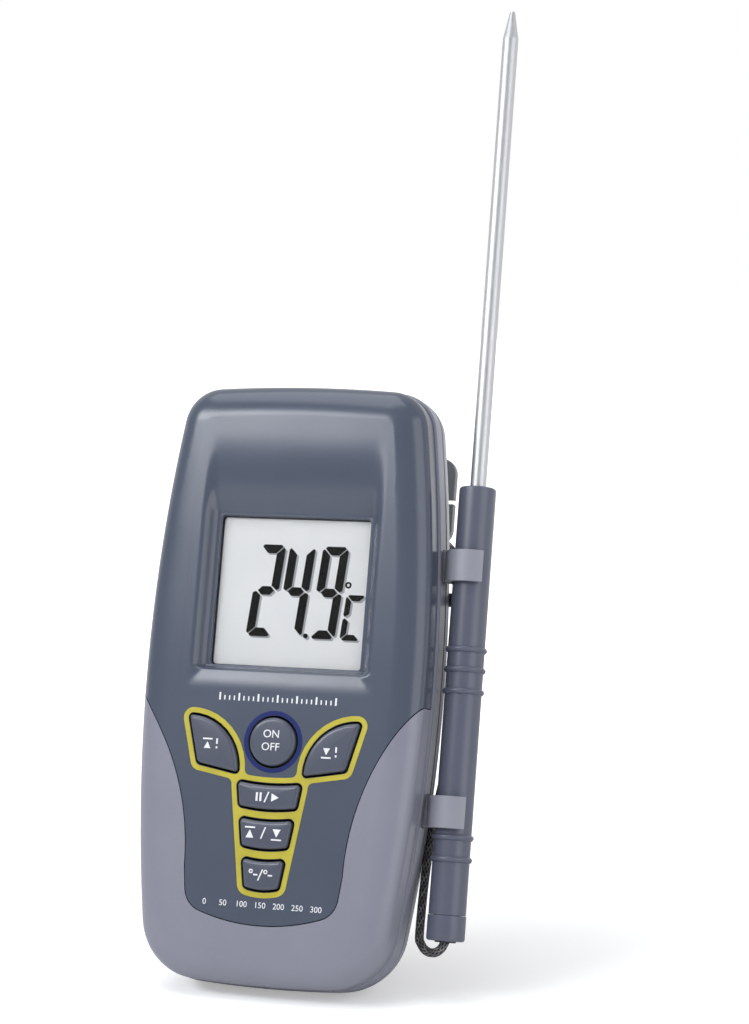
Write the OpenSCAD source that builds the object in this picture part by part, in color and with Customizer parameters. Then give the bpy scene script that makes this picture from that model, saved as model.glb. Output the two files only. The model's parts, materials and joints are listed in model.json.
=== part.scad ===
// Handheld probe thermometer: case, display, six keys, stand, and a steel probe on a cord.
// Case frame: X to the right, Y up the case, Z out of its face, with Z = 0 at the flat back.
// The standing pose leans that frame back and puts the lowest edge on the ground.

/* [Case] */
// Half the case's width at its widest
half_w = 29.7; // [28:0.1:33]
// Height of the case along its face
case_h = 120; // [118:1:130]
// Depth from the flat back to the face
case_d = 22; // [22:0.5:26]
// Height at which the case is widest
widest_y = 62; // [56:1:68]
// Radius of the bowed sides
side_r = 343; // [300:1:600]
// Radius of the bowed top edge
top_r = 300; // [200:1:600]
// Radius of the bowed bottom edge
bottom_r = 230; // [200:1:600]
// Corner radius at the top
top_corner_r = 8; // [7.5:0.5:12]
// Corner radius at the bottom
bottom_corner_r = 12.5; // [10:0.5:14]
// How far the face's crown runs in from the edge
crown_w = 6.5; // [4:0.5:7]
// How far the crown falls at the edge
crown_drop = 4; // [2:0.5:5]
// Wall of the shells
wall = 2; // [1.6:0.1:2.4]
// Height of the joint between rear shell and band
split_z = 10; // [9:0.5:11]
// Depth of the light band round the case
band_d = 4; // [3:0.5:4]
// How far the band stands out of the cover
band_proud = 0.5; // [0.3:0.1:1]
// How far the rear shell's edge runs in at the back
rear_w = 6; // [4:0.5:7]
// Angle that the case leans back when it stands
lean = 14; // [10:0.5:18]

/* [Tongue] */
// Height of the tongue's lower end
tongue_y = 11.7; // [9:0.1:14]
// Half the tongue's width at its waist
tongue_half = 16.7; // [16:0.1:18]
// Height of that waist
waist_y = 22.5; // [20:0.5:24]
// Radius of the flare above the waist
flare_r = 50.7; // [48:0.1:54]
// Corner radius of the tongue's lower end
tongue_corner_r = 5; // [3:0.5:6]
// Groove between tongue and apron
tongue_gap = 0.15; // [0.1:0.05:0.3]

/* [Display] */
// Width of the window
window_w = 31.9; // [28:0.1:33]
// Height of the window
window_h = 30.2; // [28:0.1:31]
// Height of the window's lower edge
window_y = 63; // [62:0.5:64]
// Depth of the bay's floor below the face
bay_depth = 2.6; // [2:0.1:3]
// How far the bay's side walls lean out
bay_side_run = 2.3; // [1.5:0.1:3]
// Length of the ramp above the window
ramp_len = 19; // [15:0.5:20]
// Length of the short chamfer below the window
sill_len = 4.2; // [3:0.1:5]
// Thickness of the clear window
lens_t = 0.8; // [0.6:0.1:1]
// Thickness of the display's glass
glass_t = 1.8; // [1.4:0.1:2]
// Lip of the cover that the window seats on
lip_t = 0.9; // [0.7:0.1:1.1]
// How far the window reaches past the opening
lens_margin = 1.2; // [0.8:0.1:1.5]

/* [Keys] */
// How far the keys stand out of the face
key_proud = 0.8; // [0.4:0.1:1.2]
// Travel of a key
key_travel = 0.6; // [0.3:0.1:0.8]
// Gap round each key
key_gap = 0.4; // [0.3:0.05:0.5]
// Radius of the round key
power_r = 4.8; // [4:0.1:5]
// Height of the round key's centre
power_y = 47.9; // [47:0.1:49]
// Outer radius of the ring round it
ring_r = 6.15; // [6:0.05:6.3]
// Radius of the wing keys' long edge
wing_r = 10.6; // [10:0.1:11]
// Half width of the key column at its top
column_half = 6.6; // [6:0.1:7]
// How fast the column narrows downwards
column_taper = 0.151; // [0.1:0.01:0.2]
// Width of the printed outline round the keys
trim_w = 1.05; // [0.6:0.05:1.1]

/* [Probe] */
// Radius of the steel shaft
shaft_r = 1.6; // [1:0.1:2]
// Length of the shaft outside the handle
shaft_len = 99; // [60:1:150]
// Length of the shaft's cone tip
tip_len = 5.8; // [3:0.1:8]
// Radius of the tip's blunt end
tip_r = 0.55; // [0.3:0.05:0.8]
// Wall of the steel tube
tube_wall = 0.35; // [0.2:0.05:0.5]
// Radius of the handle
handle_r = 3.7; // [3.5:0.1:4]
// Length of the handle above its cap
handle_len = 84.8; // [80:0.1:95]
// Length of the end cap
cap_len = 5.1; // [4:0.1:8]
// How far the handle's beads stand out
bead_proud = 0.25; // [0.1:0.05:0.3]
// Height of the cap's lower end when the probe is clipped in
probe_y = 11.7; // [11:0.1:14]
// Gap between the case's band and the handle
probe_gap = 1.2; // [1.2:0.1:3]
// Height of the probe's axis above the case's back
probe_z = 11; // [10:0.5:12]
// How far the probe slides up out of its clips
probe_travel = 85; // [80:1:120]

/* [Clips] */
// Height of a clip along the case
clip_h = 6.3; // [4:0.1:8]
// Thickness of a clip's jaws
clip_t = 1.1; // [0.8:0.1:1.2]
// Gap between the beads and the jaws
clip_gap = 0.25; // [0.2:0.05:0.4]
// Half the angle of the clip's mouth
mouth_angle = 43; // [30:1:60]
// Height of the lower clip's lower edge
lower_clip_y = 33.5; // [30:0.5:36]
// Height of the upper clip's lower edge
upper_clip_y = 82.2; // [80.5:0.5:84]
// Thickness of the arm that holds a clip
arm_t = 2.2; // [1.6:0.1:3]

/* [Stand] */
// Height of the stand's hinge
hinge_y = 63; // [60:0.5:64]
// Angle of the open stand to the case's back
stand_open = 24; // [20:1:30]
// Half the width of the stand
stand_half = 13; // [10:0.5:14]
// Thickness of the stand
stand_t = 2.4; // [2:0.1:2.6]
// Radius of the hinge pin
pin_r = 0.8; // [0.6:0.1:1]
// Running clearance of the hinge pin
pin_fit = 0.05; // [0.02:0.01:0.1]

/* [Battery] */
// Length of the cell
cell_len = 44.5; // [40:0.5:45]
// Radius of the cell
cell_r = 5.25; // [4:0.05:5.25]
// Height of the cell's axis along the case
cell_y = 78.2; // [77:0.1:79]
// Thickness of the battery door
door_t = 1.5; // [1.2:0.1:1.8]
// Gap round the battery door
door_gap = 0.25; // [0.15:0.05:0.4]

/* [Cord] */
// Diameter of the cord
cord_d = 1.8; // [1.2:0.1:2]
// Half length of the winder's core between its round ends
core_half = 16; // [12:0.5:16]
// Radius of the core's round ends
core_r = 3.2; // [3:0.1:4]
// Turns beside each other on the core
coil_rows = 4; // [2:2:4]
// Turns on top of each other on the core
coil_layers = 2; // [1:1:2]
// Half the width of the winder's flange
flange_half = 24.6; // [23.5:0.1:26]
// Half the height of the winder's flange
flange_half_h = 9.2; // [8.5:0.1:10]
// Thickness of the winder's flange
flange_t = 1.8; // [1.2:0.1:2.5]
// Distance of the winder's middle below the top of the case
winder_drop = 18.6; // [18:0.1:19.2]

/* [Board] */
// Thickness of the circuit board
board_t = 1.6; // [1:0.1:1.6]
// Height of the board's front above the case's back
board_z = 14.8; // [14.6:0.1:15]

/* [Hidden] */
eps = 0.01;
seat = 0.1;
dark_grey = "#5a6270";
light_grey = "#8d8f9b";

// Case outline
band_z = split_z + band_d;
side_c = [half_w - side_r, widest_y];
top_c = [0, case_h - top_r];
bottom_c = [0, bottom_r];

// Where two circles meet, on the side of larger x
function meet(a, ra, b, rb) =
    let (d = norm(b - a), k = (d * d + ra * ra - rb * rb) / (2 * d), h = sqrt(ra * ra - k * k),
         u = (b - a) / d)
    a + k * u + h * (u[1] > 0 ? [u[1], -u[0]] : [-u[1], u[0]]);
function angle_of(v) = atan2(v[1], v[0]);
function arc(c, r, a0, a1, n) =
    [for (i = [0 : n]) c + r * [cos(a0 + (a1 - a0) * i / n), sin(a0 + (a1 - a0) * i / n)]];
function reversed(p) = [for (i = [len(p) - 1 : -1 : 0]) p[i]];
function mirrored(p) = [for (q = reversed(p)) [-q[0], q[1]]];

top_corner_c = meet(side_c, side_r - top_corner_r, top_c, top_r - top_corner_r);
bottom_corner_c = meet(side_c, side_r - bottom_corner_r, bottom_c, bottom_r - bottom_corner_r);
bottom_side_a = angle_of(bottom_corner_c - side_c);
top_side_a = angle_of(top_corner_c - side_c);
top_a = angle_of(top_corner_c - top_c);
bottom_a = angle_of(bottom_corner_c - bottom_c);

// Right half of the case's outline from bottom to top, moved in by d
function half_outline(d) = concat(
    arc(bottom_c, bottom_r - d, -88, bottom_a, 2),
    arc(bottom_corner_c, bottom_corner_r - d, bottom_a + 13, bottom_side_a - 13, 5),
    arc(side_c, side_r - d, bottom_side_a, top_side_a, 8),
    arc(top_corner_c, top_corner_r - d, top_side_a + 13, top_a - 13, 4),
    arc(top_c, top_r - d, top_a, 89, 2));
function outline(d) = concat(half_outline(d), mirrored(half_outline(d)));
// Half the case's width at height y
function half_width(y) = side_c[0] + sqrt(side_r * side_r - (y - widest_y) * (y - widest_y));

// Tongue and trim
tongue_r = 40;
tongue_low_c = [0, tongue_y + tongue_r];
tongue_corner_x = 11.2;
trim_d = 0.35;
trim_fillet = 1.2;

// Standing pose
side_x = half_w + band_proud;
probe_x = side_x + probe_gap + handle_r;
rear_in = rear_w - band_proud;
ground_z = cos(lean) * rear_in + sin(lean) * split_z
    - norm([cos(lean) * rear_w, sin(lean) * split_z]);
tip_y = probe_y + cap_len + handle_len + shaft_len;
clip_in_r = handle_r + bead_proud + clip_gap;
shift_x = (side_x - probe_x - clip_in_r - clip_t) / 2;
front_y = sin(lean) * crown_w - cos(lean) * (case_d - crown_drop)
    - norm([sin(lean) * crown_w, cos(lean) * crown_drop]);
rear_y = sin(lean) * tip_y - cos(lean) * (probe_z - tip_r);
shift_y = -(front_y + rear_y) / 2;

// Rings of a shell from back to front: [inset, z]
front_steps = concat([[0, band_z]],
    [for (a = [0 : 15 : 90]) [crown_w * (1 - cos(a)), case_d - crown_drop * (1 - sin(a))]]);
rear_steps = [for (a = [90 : -11.25 : 0]) [-band_proud + rear_w * (1 - cos(a)), split_z * (1 - sin(a))]];

// Display bay
window_top = window_y + window_h;
bay_z = case_d - bay_depth;
lens_z = bay_z - lip_t;
glass_z = lens_z - lens_t;
lens_half = window_w / 2 + lens_margin;

// Keys
key_top = case_d + key_proud;
key_flange = 0.75;
flange_top = case_d - wall - 0.3;
key_bottom = flange_top - 1;
wing_corner_r = 0.5;
row_corner_r = 0.7;
key_edge = [[0, 0.35], [0.12, 0.15], [0.35, 0]];
wing_tip = [7, 41.5];
wing_low = [15.5, 43];
wing_high = [18, 52.4];
wing_mid = (wing_tip + wing_high) / 2;
wing_chord = wing_high - wing_tip;
wing_side = [-wing_chord[1], wing_chord[0]] / norm(wing_chord);
wing_c = wing_mid - wing_side * sqrt(wing_r * wing_r - pow(norm(wing_chord) / 2, 2));
column_y = 39.8;
key_bow = 0.5;
hold_rows = [35.05, 39.8];
max_min_rows = [27.3, 32.7];
unit_rows = [19.25, 24.85];
function row_middle(rows) = [0, (rows[0] + rows[1] - key_bow) / 2];
wing_middle = (wing_tip + wing_low + wing_high) / 3;
key_spots = [[0, power_y], [-wing_middle[0], wing_middle[1]], wing_middle,
    row_middle(hold_rows), row_middle(max_min_rows), row_middle(unit_rows)];
mat_t = 1.2;
mat_half = [19, column_half + 0.8];
dome_r = 2.3;
dome_top = key_bottom - key_travel - seat;
mat_y = [17.7, 55.5];

// Probe and clips
beads = [27.6, 31.9, 60.6, 64.9, 68.9];
stub_len = 24;
stub_r = 1.2;
tube_in_r = shaft_r - tube_wall;
grommet_r = 2.1;
cap_seat = 2.6;
clip_out_r = clip_in_r + clip_t;
slot_gap = 0.2;
hook_t = 1.4;

// Stand
recess_d = stand_t + 0.3;
hinge_z = stand_t / 2 + 0.15;
hinge_height = cos(lean) * hinge_y + sin(lean) * hinge_z;
leg_len = (hinge_height - ground_z - stand_t / 2) / cos(stand_open - lean);
knuckle_r = stand_t / 2;
ear_w = 3;

relief_half = 6;
relief_len = 30;

// Board
chip_w = 12;
chip_h = 1.4;
chip_y = 40;
buzzer_r = 6;
buzzer_h = 4;
buzzer_y = 27;

// Battery
cell_z = wall + cell_r + 0.3;
door_half = [cell_len / 2 + 1.5, cell_r + 1.3];
screw_spots = [[-20, 14], [20, 14], [-22, 64], [22, 64]];
screw_r = 2.2;
screw_head_h = 1.8;
thread_r = 0.9;
post_r = 2.4;
boss_r = 3.4;
contact_half = 2.6;
contact_t = 0.4;
cover_post_r = 2.1;
board_thread_r = 0.8;
board_head_r = 1.7;
board_half = 22;
board_y = [13, 105];
board_spots = [[-9.5, 14.8], [9.5, 14.8], [-17.5, 101.5], [17.5, 101.5]];

// Winder and cord
pitch = cord_d + 0.05;
core_d = coil_rows * pitch + 0.1;
coil_out_r = core_r + coil_layers * pitch;
winder_y = case_h - winder_drop;
winder_bolt_x = 10;
winder_bolts = [-winder_bolt_x, winder_bolt_x];
winder_corner_r = 3.5;
winder_head_r = 1.8;
winder_head_h = 1.4;
winder_thread_r = 0.75;
winder_boss_r = 2.4;
winder_boss_h = 6;
winder_slot = 0.9;
winder_slot_len = 4;
gland_r = 1.4;
gland_foot_r = 2;
gland_y = 79.4;
gland_z = 5.5;
gland_x = half_width(gland_y) + band_proud - rear_w * (1 - cos(asin(1 - gland_z / split_z)));
gland_out = 0.9;
low_run = winder_y - coil_out_r + cord_d / 2;
front_row = -cord_d / 2 - 0.2;
back_row = -core_d + cord_d / 2 + 0.1;
lead_route = [[gland_x + gland_out, gland_y, gland_z], [side_x + 1.4, gland_y, gland_z - 0.3],
    [side_x + 2.8, gland_y + 0.4, 3.6], [side_x + 3, gland_y + 1.6, 1.4],
    [side_x + 2, gland_y + 4.2, -0.3], [side_x - 0.6, gland_y + 8.2, -1],
    [side_x - 4.2, low_run - 4, front_row], [side_x - 7.8, low_run - 1.1, front_row],
    [core_half + 3.4, low_run - 0.1, front_row], [core_half + 0.5, low_run, front_row]];
tail_route = [[core_half + 0.5, low_run, back_row], [core_half + 3.8, low_run - 0.2, back_row],
    [side_x - 7.2, low_run - 1.8, back_row], [side_x - 4.8, low_run - 4.4, -6.4],
    [side_x - 2.6, 87.6, -5.7], [side_x - 0.6, 80, -4.4], [side_x + 0.4, 70, -3],
    [side_x + 0.6, 60, -1.6], [side_x + 0.3, 50, -0.6], [side_x - 0.3, 40, 0.6],
    [side_x - 1.2, 30, 2.6], [side_x - 1.7, 24, 4.4], [side_x - 1.6, 18.5, 7],
    [probe_x - 6, 13.6, 9], [probe_x - 4.8, probe_y - 1.8, probe_z - 0.7],
    [probe_x - 2.9, probe_y - 3.5, probe_z - 0.1], [probe_x - 0.9, probe_y - 3.1, probe_z],
    [probe_x, probe_y - 1.7, probe_z], [probe_x, probe_y - 0.4, probe_z]];

module standing() {
    translate([shift_x, shift_y, -ground_z]) rotate([90 - lean, 0, 0]) children();
}

// Solid through a list of rings, each [inset, z], of the case's outline
module loft(steps) {
    rings = [for (s = steps) [for (p = outline(s[0])) [p[0], p[1], s[1]]]];
    n = len(rings[0]);
    m = len(rings);
    sides = [for (k = [0 : m - 2], i = [0 : n - 1])
        let (a = k * n + i, b = k * n + (i + 1) % n, c = a + n, d = b + n) each [[a, c, d], [a, d, b]]];
    polyhedron([for (r = rings) each r],
        concat(sides, [[for (i = [0 : n - 1]) i]], [[for (i = [n - 1 : -1 : 0]) (m - 1) * n + i]]));
}

module ring_2d(outer, inner) {
    difference() {
        polygon(outline(outer));
        polygon(outline(inner));
    }
}

module slab(z0, z1) {
    translate([0, 0, z0]) linear_extrude(z1 - z0) children();
}

// Tongue of the cover and everything above it, moved out by g
function tongue_half_outline(g) =
    let (flare_c = [tongue_half + flare_r, waist_y],
         reach = tongue_r - tongue_corner_r,
         corner = [tongue_corner_x, tongue_low_c[1] - sqrt(reach * reach - tongue_corner_x * tongue_corner_x)],
         low_a = angle_of(corner - tongue_low_c))
    concat(arc(tongue_low_c, tongue_r + g, -89, low_a, 4),
        arc(corner, tongue_corner_r + g, low_a + 12, -6, 5),
        arc(flare_c, flare_r - g, 180, 134, 14));
module tongue_2d(g) {
    polygon(concat(tongue_half_outline(g), [[half_w + 9, case_h + 9], [-half_w - 9, case_h + 9]],
        mirrored(tongue_half_outline(g))));
}

// Bay cut: ramp, floor and sill seen from the side, with leaning side walls
module bay_cut() {
    ramp = [for (i = [0 : 8]) [window_top + ramp_len * i / 8,
        bay_z + bay_depth * (1 - pow(1 - i / 8, 1.6))]];
    profile = concat([[window_y - sill_len, case_d + 2], [window_y - sill_len, case_d],
        [window_y - 0.4, bay_z]], ramp, [[window_top + ramp_len, case_d + 2]]);
    run = bay_side_run / bay_depth;
    intersection() {
        translate([-half_w, 0, 0]) rotate([90, 0, 90]) linear_extrude(2 * half_w) polygon(profile);
        translate([0, case_h, 0]) rotate([90, 0, 0]) linear_extrude(case_h)
            polygon([for (q = [[-1, -1], [1, -1], [1, bay_depth + 2], [-1, bay_depth + 2]])
                [q[0] * (window_w / 2 + 0.1 + run * q[1]), bay_z + q[1]]]);
    }
}

// Outline with its outer corners rounded
module rounded(r) {
    offset(r = r, $fn = 24) offset(delta = -r) children();
}

module wing_2d(side) {
    a0 = angle_of(wing_high - wing_c);
    a1 = angle_of(wing_tip - wing_c);
    points = concat([wing_low], arc(wing_c, wing_r, a0, a1 < 0 ? a1 + 360 : a1, 10));
    scale([side, 1]) rounded(wing_corner_r) polygon(points);
}

function column_at(y) = column_half - column_taper * (column_y - y);
module row_2d(rows) {
    steps = [-1 : 0.25 : 1];
    rounded(row_corner_r) polygon(concat(
        [for (t = steps) [t * column_at(rows[0]), rows[0] - key_bow * (1 - t * t)]],
        [for (t = steps) [-t * column_at(rows[1]), rows[1] - key_bow * (1 - t * t)]]));
}

// Outlines of the five keys that the printed outline runs round
module framed_keys_2d(d) {
    offset(r = d, $fn = 24) wing_2d(1);
    offset(r = d, $fn = 24) wing_2d(-1);
    for (rows = [hold_rows, max_min_rows, unit_rows]) offset(r = d, $fn = 24) row_2d(rows);
}

// Right half of the column of row keys, without its bowed ends
function column_side() =
    [for (y = [unit_rows[0] + 1, hold_rows[1] - 1]) [column_at(y), y]];

module trim_2d(slack) {
    inner = key_gap + 0.1;
    outer = inner + trim_w + slack;
    side = column_side();
    difference() {
        offset(r = -trim_fillet, $fn = 24) offset(r = trim_fillet, $fn = 24) {
            framed_keys_2d(outer);
            offset(r = outer, $fn = 24) polygon(concat(side, mirrored(side)));
        }
        framed_keys_2d(inner - slack);
    }
}

module front_cover() {
    color(dark_grey) difference() {
        intersection() {
            loft(front_steps);
            slab(0, case_d + 1) tongue_2d(-tongue_gap);
        }
        difference() {
            loft([[wall, 0], [wall, case_d - crown_drop - 0.4], [wall + 3.2, case_d - wall]]);
            slab(lens_z - lens_t, case_d) translate([-lens_half - 2, window_y - lens_margin - 2])
                square([2 * lens_half + 4, window_h + ramp_len + lens_margin + 3]);
            for (s = board_spots) translate([s[0], s[1], board_z])
                cylinder(r = cover_post_r, h = case_d - board_z, $fn = 32);
        }
        bay_cut();
        slab(0, case_d) translate([-window_w / 2, window_y]) square([window_w, window_h]);
        slab(0, lens_z) translate([-lens_half - seat, window_y - lens_margin - seat])
            square([2 * (lens_half + seat), window_h + 2 * (lens_margin + seat)]);
        slab(0, case_d + 1) framed_keys_2d(key_gap);
        translate([0, power_y, 0]) cylinder(r = power_r + key_gap, h = case_d + 1, $fn = 96);
        slab(case_d - trim_d, case_d + 1) trim_2d(0.03);
        translate([0, power_y, case_d - trim_d]) cylinder(r = ring_r + 0.03, h = 1, $fn = 96);
        for (s = board_spots) translate([s[0], s[1], 0])
            cylinder(r = board_thread_r, h = board_z + 3, $fn = 32);
    }
}

// Notches for the clips' arms, open towards the rear shell that closes them
module clip_notches() {
    for (y = [lower_clip_y, upper_clip_y])
        translate([half_w - 8, y - slot_gap, split_z - 2])
            cube([9, clip_h + 2 * slot_gap, 2 + arm_t + slot_gap]);
}

module front_housing() {
    color(light_grey) difference() {
        union() {
            difference() {
                intersection() {
                    loft(front_steps);
                    difference() {
                        slab(band_z - eps, case_d + 1) polygon(outline(-1));
                        slab(0, case_d + 2) tongue_2d(0);
                    }
                }
                loft([[wall, 0], [wall, case_d - crown_drop - 0.4], [wall + 3.2, case_d - wall]]);
            }
            slab(split_z, band_z) ring_2d(-band_proud, wall + 0.1);
            slab(split_z - 1.2, band_z) ring_2d(wall + 0.1, wall + 1.2);
            slab(band_z - eps, band_z + 1.5) difference() {
                ring_2d(wall + 0.1, wall + 1.2);
                for (x = [-1, 1]) translate([x * half_w - 6, case_h / 2 - 2]) square([12, 4]);
            }
            for (s = screw_spots) {
                translate([s[0], s[1], split_z]) cylinder(r = post_r, h = board_z - split_z, $fn = 32);
                // Web from the post to the wall beside it
                reach = half_width(s[1]) - wall - 0.6;
                translate([s[0] > 0 ? s[0] : -reach, s[1] - 0.7, split_z])
                    cube([reach - abs(s[0]), 1.4, board_z - board_t - split_z - 0.2]);
            }
        }
        clip_notches();
        for (s = screw_spots) translate([s[0], s[1], split_z - 1]) cylinder(r = thread_r, h = 5, $fn = 32);
    }
}

module rear_shell() {
    color(light_grey) difference() {
        loft(rear_steps);
        difference() {
            loft([[rear_w - band_proud + 0.6, wall], [wall, split_z * 0.5], [wall, split_z + 1]]);
            // Floor of the stand's recess, cell cradle and screw bosses stay solid
            slab(0, recess_d + wall) translate([-stand_half - 5, -1])
                square([2 * stand_half + 10, hinge_y + 5]);
            slab(0, cell_z) translate([-door_half[0] - 1.6, cell_y - door_half[1] - 1.4])
                square([2 * door_half[0] + 3.2, 2 * door_half[1] + 2.8]);
            for (s = screw_spots) translate([s[0], s[1], 0]) cylinder(r = boss_r, h = split_z, $fn = 32);
            for (x = winder_bolts) translate([x, winder_y, 0])
                cylinder(r = winder_boss_r, h = winder_boss_h, $fn = 32);
        }
        // Parting groove
        slab(split_z - 0.35, split_z + 1) ring_2d(-band_proud - 1, -band_proud + 0.3);
        slab(split_z - 1.3, split_z + 1) ring_2d(wall, wall + 3);
        // Stand recess, with a lug at each end of the hinge
        slab(-1, recess_d) difference() {
            translate([-stand_half - 0.5, -2]) square([2 * stand_half + 1, hinge_y + knuckle_r + 0.5 + 2]);
            for (x = [-stand_half - 1, stand_half - ear_w + 0.25])
                translate([x, hinge_y - 2.4]) square([ear_w + 0.75, 6]);
        }
        translate([-stand_half - 4, hinge_y, hinge_z]) rotate([0, 90, 0])
            cylinder(r = pin_r, h = 2 * stand_half + 8, $fn = 48);
        // Door seat, cell bay and contact slots
        slab(-1, door_t + 0.1) translate([-door_half[0], cell_y - door_half[1]]) square(2 * door_half);
        slab(-1, split_z) translate([-cell_len / 2 - 0.6, cell_y - cell_r - 0.3])
            square([cell_len + 1.2, 2 * cell_r + 0.6]);
        // Screws, gland and clips
        for (s = screw_spots) translate([s[0], s[1], 0]) {
            translate([0, 0, -1]) cylinder(r = screw_r + 0.2, h = 1 + 4, $fn = 32);
            cylinder(r = 1.2, h = split_z + 1, $fn = 32);
        }
        for (x = winder_bolts) translate([x, winder_y, -1])
            cylinder(r = winder_thread_r, h = winder_boss_h, $fn = 32);
        translate([gland_x, gland_y, gland_z]) rotate([0, 90, 0]) {
            translate([0, 0, -wall - 1.2]) cylinder(r = gland_r + seat, h = 6, $fn = 32);
            translate([0, 0, -wall - 1.4]) cylinder(r = gland_foot_r + seat, h = 1.4, $fn = 32);
        }
    }
}

module window_lens() {
    color("#e8f0f4", 0.4) slab(glass_z, lens_z) translate([-lens_half, window_y - lens_margin])
        square([2 * lens_half, window_h + 2 * lens_margin]);
}

module lcd_glass() {
    color("#d9dde0") slab(glass_z - glass_t - 0.05, glass_z - 0.05)
        translate([-lens_half, window_y - lens_margin]) square([2 * lens_half, window_h + 2 * lens_margin]);
}

module lcd_holder() {
    color("white") difference() {
        slab(board_z, glass_z - 0.05) translate([-lens_half - 1.6, window_y - lens_margin - 1.6])
            square([2 * lens_half + 3.2, window_h + 2 * lens_margin + 3.2]);
        slab(board_z + 0.8, glass_z + 1) translate([-lens_half - seat, window_y - lens_margin - seat])
            square([2 * (lens_half + seat), window_h + 2 * (lens_margin + seat)]);
        slab(0, glass_z) translate([-lens_half + 2.6, window_y - lens_margin + 0.6])
            square([2 * lens_half - 5.2, window_h + 2 * lens_margin - 3]);
    }
}

module zebra_strip() {
    color("#303030") slab(board_z, glass_z - glass_t - 0.05)
        translate([-lens_half + 2.7, window_y - lens_margin + 0.7]) square([2 * lens_half - 5.4, 1.8]);
}

module circuit_board() {
    w = 2 * board_half;
    h = board_y[1] - board_y[0];
    cut = 3;
    color("darkgreen") difference() {
        slab(board_z - board_t, board_z) translate([-board_half, board_y[0]])
            polygon([[cut, 0], [w - cut, 0], [w, cut], [w, h - cut], [w - cut, h], [cut, h], [0, h - cut], [0, cut]]);
        for (s = board_spots) translate([s[0], s[1], 0]) cylinder(r = 1, h = case_d, $fn = 32);
        for (s = screw_spots) translate([s[0], s[1], 0]) cylinder(r = 2.9, h = case_d, $fn = 32);
    }
}

module controller_chip() {
    color("#202020") translate([-chip_w / 2, chip_y, board_z - board_t - chip_h])
        cube([chip_w, chip_w, chip_h]);
}

module buzzer() {
    color("#1c1c1c") translate([0, buzzer_y, board_z - board_t - buzzer_h]) difference() {
        cylinder(r = buzzer_r, h = buzzer_h, $fn = 48);
        translate([0, 0, -1]) cylinder(r = 1, h = 3, $fn = 32);
    }
}

module keypad_mat() {
    color("#4a4d55") {
        slab(board_z, board_z + mat_t) {
            translate([-mat_half[0], wing_tip[1] - 2]) square([2 * mat_half[0], mat_y[1] - wing_tip[1] + 2]);
            translate([-mat_half[1], mat_y[0]]) square([2 * mat_half[1], wing_tip[1] - mat_y[0] - 2]);
        }
        for (p = key_spots) translate([p[0], p[1], board_z + mat_t])
            cylinder(r = dome_r, h = dome_top - board_z - mat_t, $fn = 32);
    }
}

module board_screws() {
    color("silver") for (s = board_spots) translate([s[0], s[1], board_z - board_t]) {
        translate([0, 0, -1.1]) cylinder(r = board_head_r, h = 1.1, $fn = 32);
        cylinder(r = board_thread_r, h = board_t + 2.6, $fn = 32);
    }
}

module key_trim() {
    color("#c6c14a") slab(case_d - trim_d, case_d + 0.05) trim_2d(0);
}

module power_ring() {
    color("#2f3f80") translate([0, power_y, case_d - trim_d]) difference() {
        cylinder(r = ring_r, h = trim_d + 0.05, $fn = 96);
        translate([0, 0, -1]) cylinder(r = power_r + key_gap + 0.1, h = 2, $fn = 96);
    }
}

// Key cap: retaining flange, straight body and a top edge rounded in steps of [inset, drop]
module key_cap() {
    color("#565c68") {
        slab(key_bottom, flange_top) offset(r = key_flange, $fn = 16) children();
        for (e = key_edge) slab(flange_top - eps, key_top - e[1]) offset(delta = -e[0]) children();
    }
}

module power_key() {
    color("#565c68") translate([0, power_y, 0]) rotate_extrude($fn = 96)
        polygon([[0, key_bottom], [power_r + key_flange, key_bottom], [power_r + key_flange, flange_top],
            [power_r, flange_top], [power_r, key_top - 0.4], [power_r - 0.15, key_top - 0.15],
            [power_r - 0.5, key_top], [0, key_top + 0.1]]);
}

module high_alarm_key() {
    key_cap() wing_2d(-1);
}

module low_alarm_key() {
    key_cap() wing_2d(1);
}

module hold_key() {
    key_cap() row_2d(hold_rows);
}

module max_min_key() {
    key_cap() row_2d(max_min_rows);
}

module unit_key() {
    key_cap() row_2d(unit_rows);
}

module battery() {
    color("#b08d3e") translate([-cell_len / 2, cell_y, cell_z]) rotate([0, 90, 0]) {
        cylinder(r = cell_r, h = cell_len - 1, $fn = 64);
        translate([0, 0, cell_len - 1 - eps]) cylinder(r = 1.9, h = 1, $fn = 32);
    }
}

module contact(x) {
    translate([x, cell_y - contact_half, door_t + 0.4]) cube([contact_t, 2 * contact_half, 2 * cell_r]);
}

module battery_spring() {
    color("silver") {
        contact(-cell_len / 2 - contact_t - 0.15);
        translate([-cell_len / 2 - 0.16, cell_y, cell_z]) rotate([0, 90, 0])
            cylinder(r = contact_half - 0.3, h = 0.14, $fn = 32);
    }
}

module battery_plate() {
    color("silver") contact(cell_len / 2 + 0.1);
}

module battery_door() {
    half = [door_half[0] - door_gap, door_half[1] - door_gap];
    color(light_grey) difference() {
        union() {
            slab(0, door_t) translate([-half[0], cell_y - half[1]]) square(2 * half);
            for (x = [-15, 15]) translate([x - 2, cell_y - cell_r - 0.1, door_t - eps]) cube([4, 0.9, 0.6]);
        }
        for (i = [0 : 3]) translate([-5, cell_y - 3.4 + 1.5 * i, -1]) cube([10, 0.7, 1.4]);
    }
}

module case_screws() {
    color("silver") for (s = screw_spots) translate([s[0], s[1], 0]) {
        translate([0, 0, 2.2]) difference() {
            cylinder(r = screw_r, h = screw_head_h, $fn = 32);
            for (a = [0, 90]) rotate(a) translate([-1.4, -0.3, -1]) cube([2.8, 0.6, 1.8]);
        }
        translate([0, 0, 2.2 + screw_head_h - eps]) cylinder(r = thread_r, h = split_z - 1.2, $fn = 32);
    }
}

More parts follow.
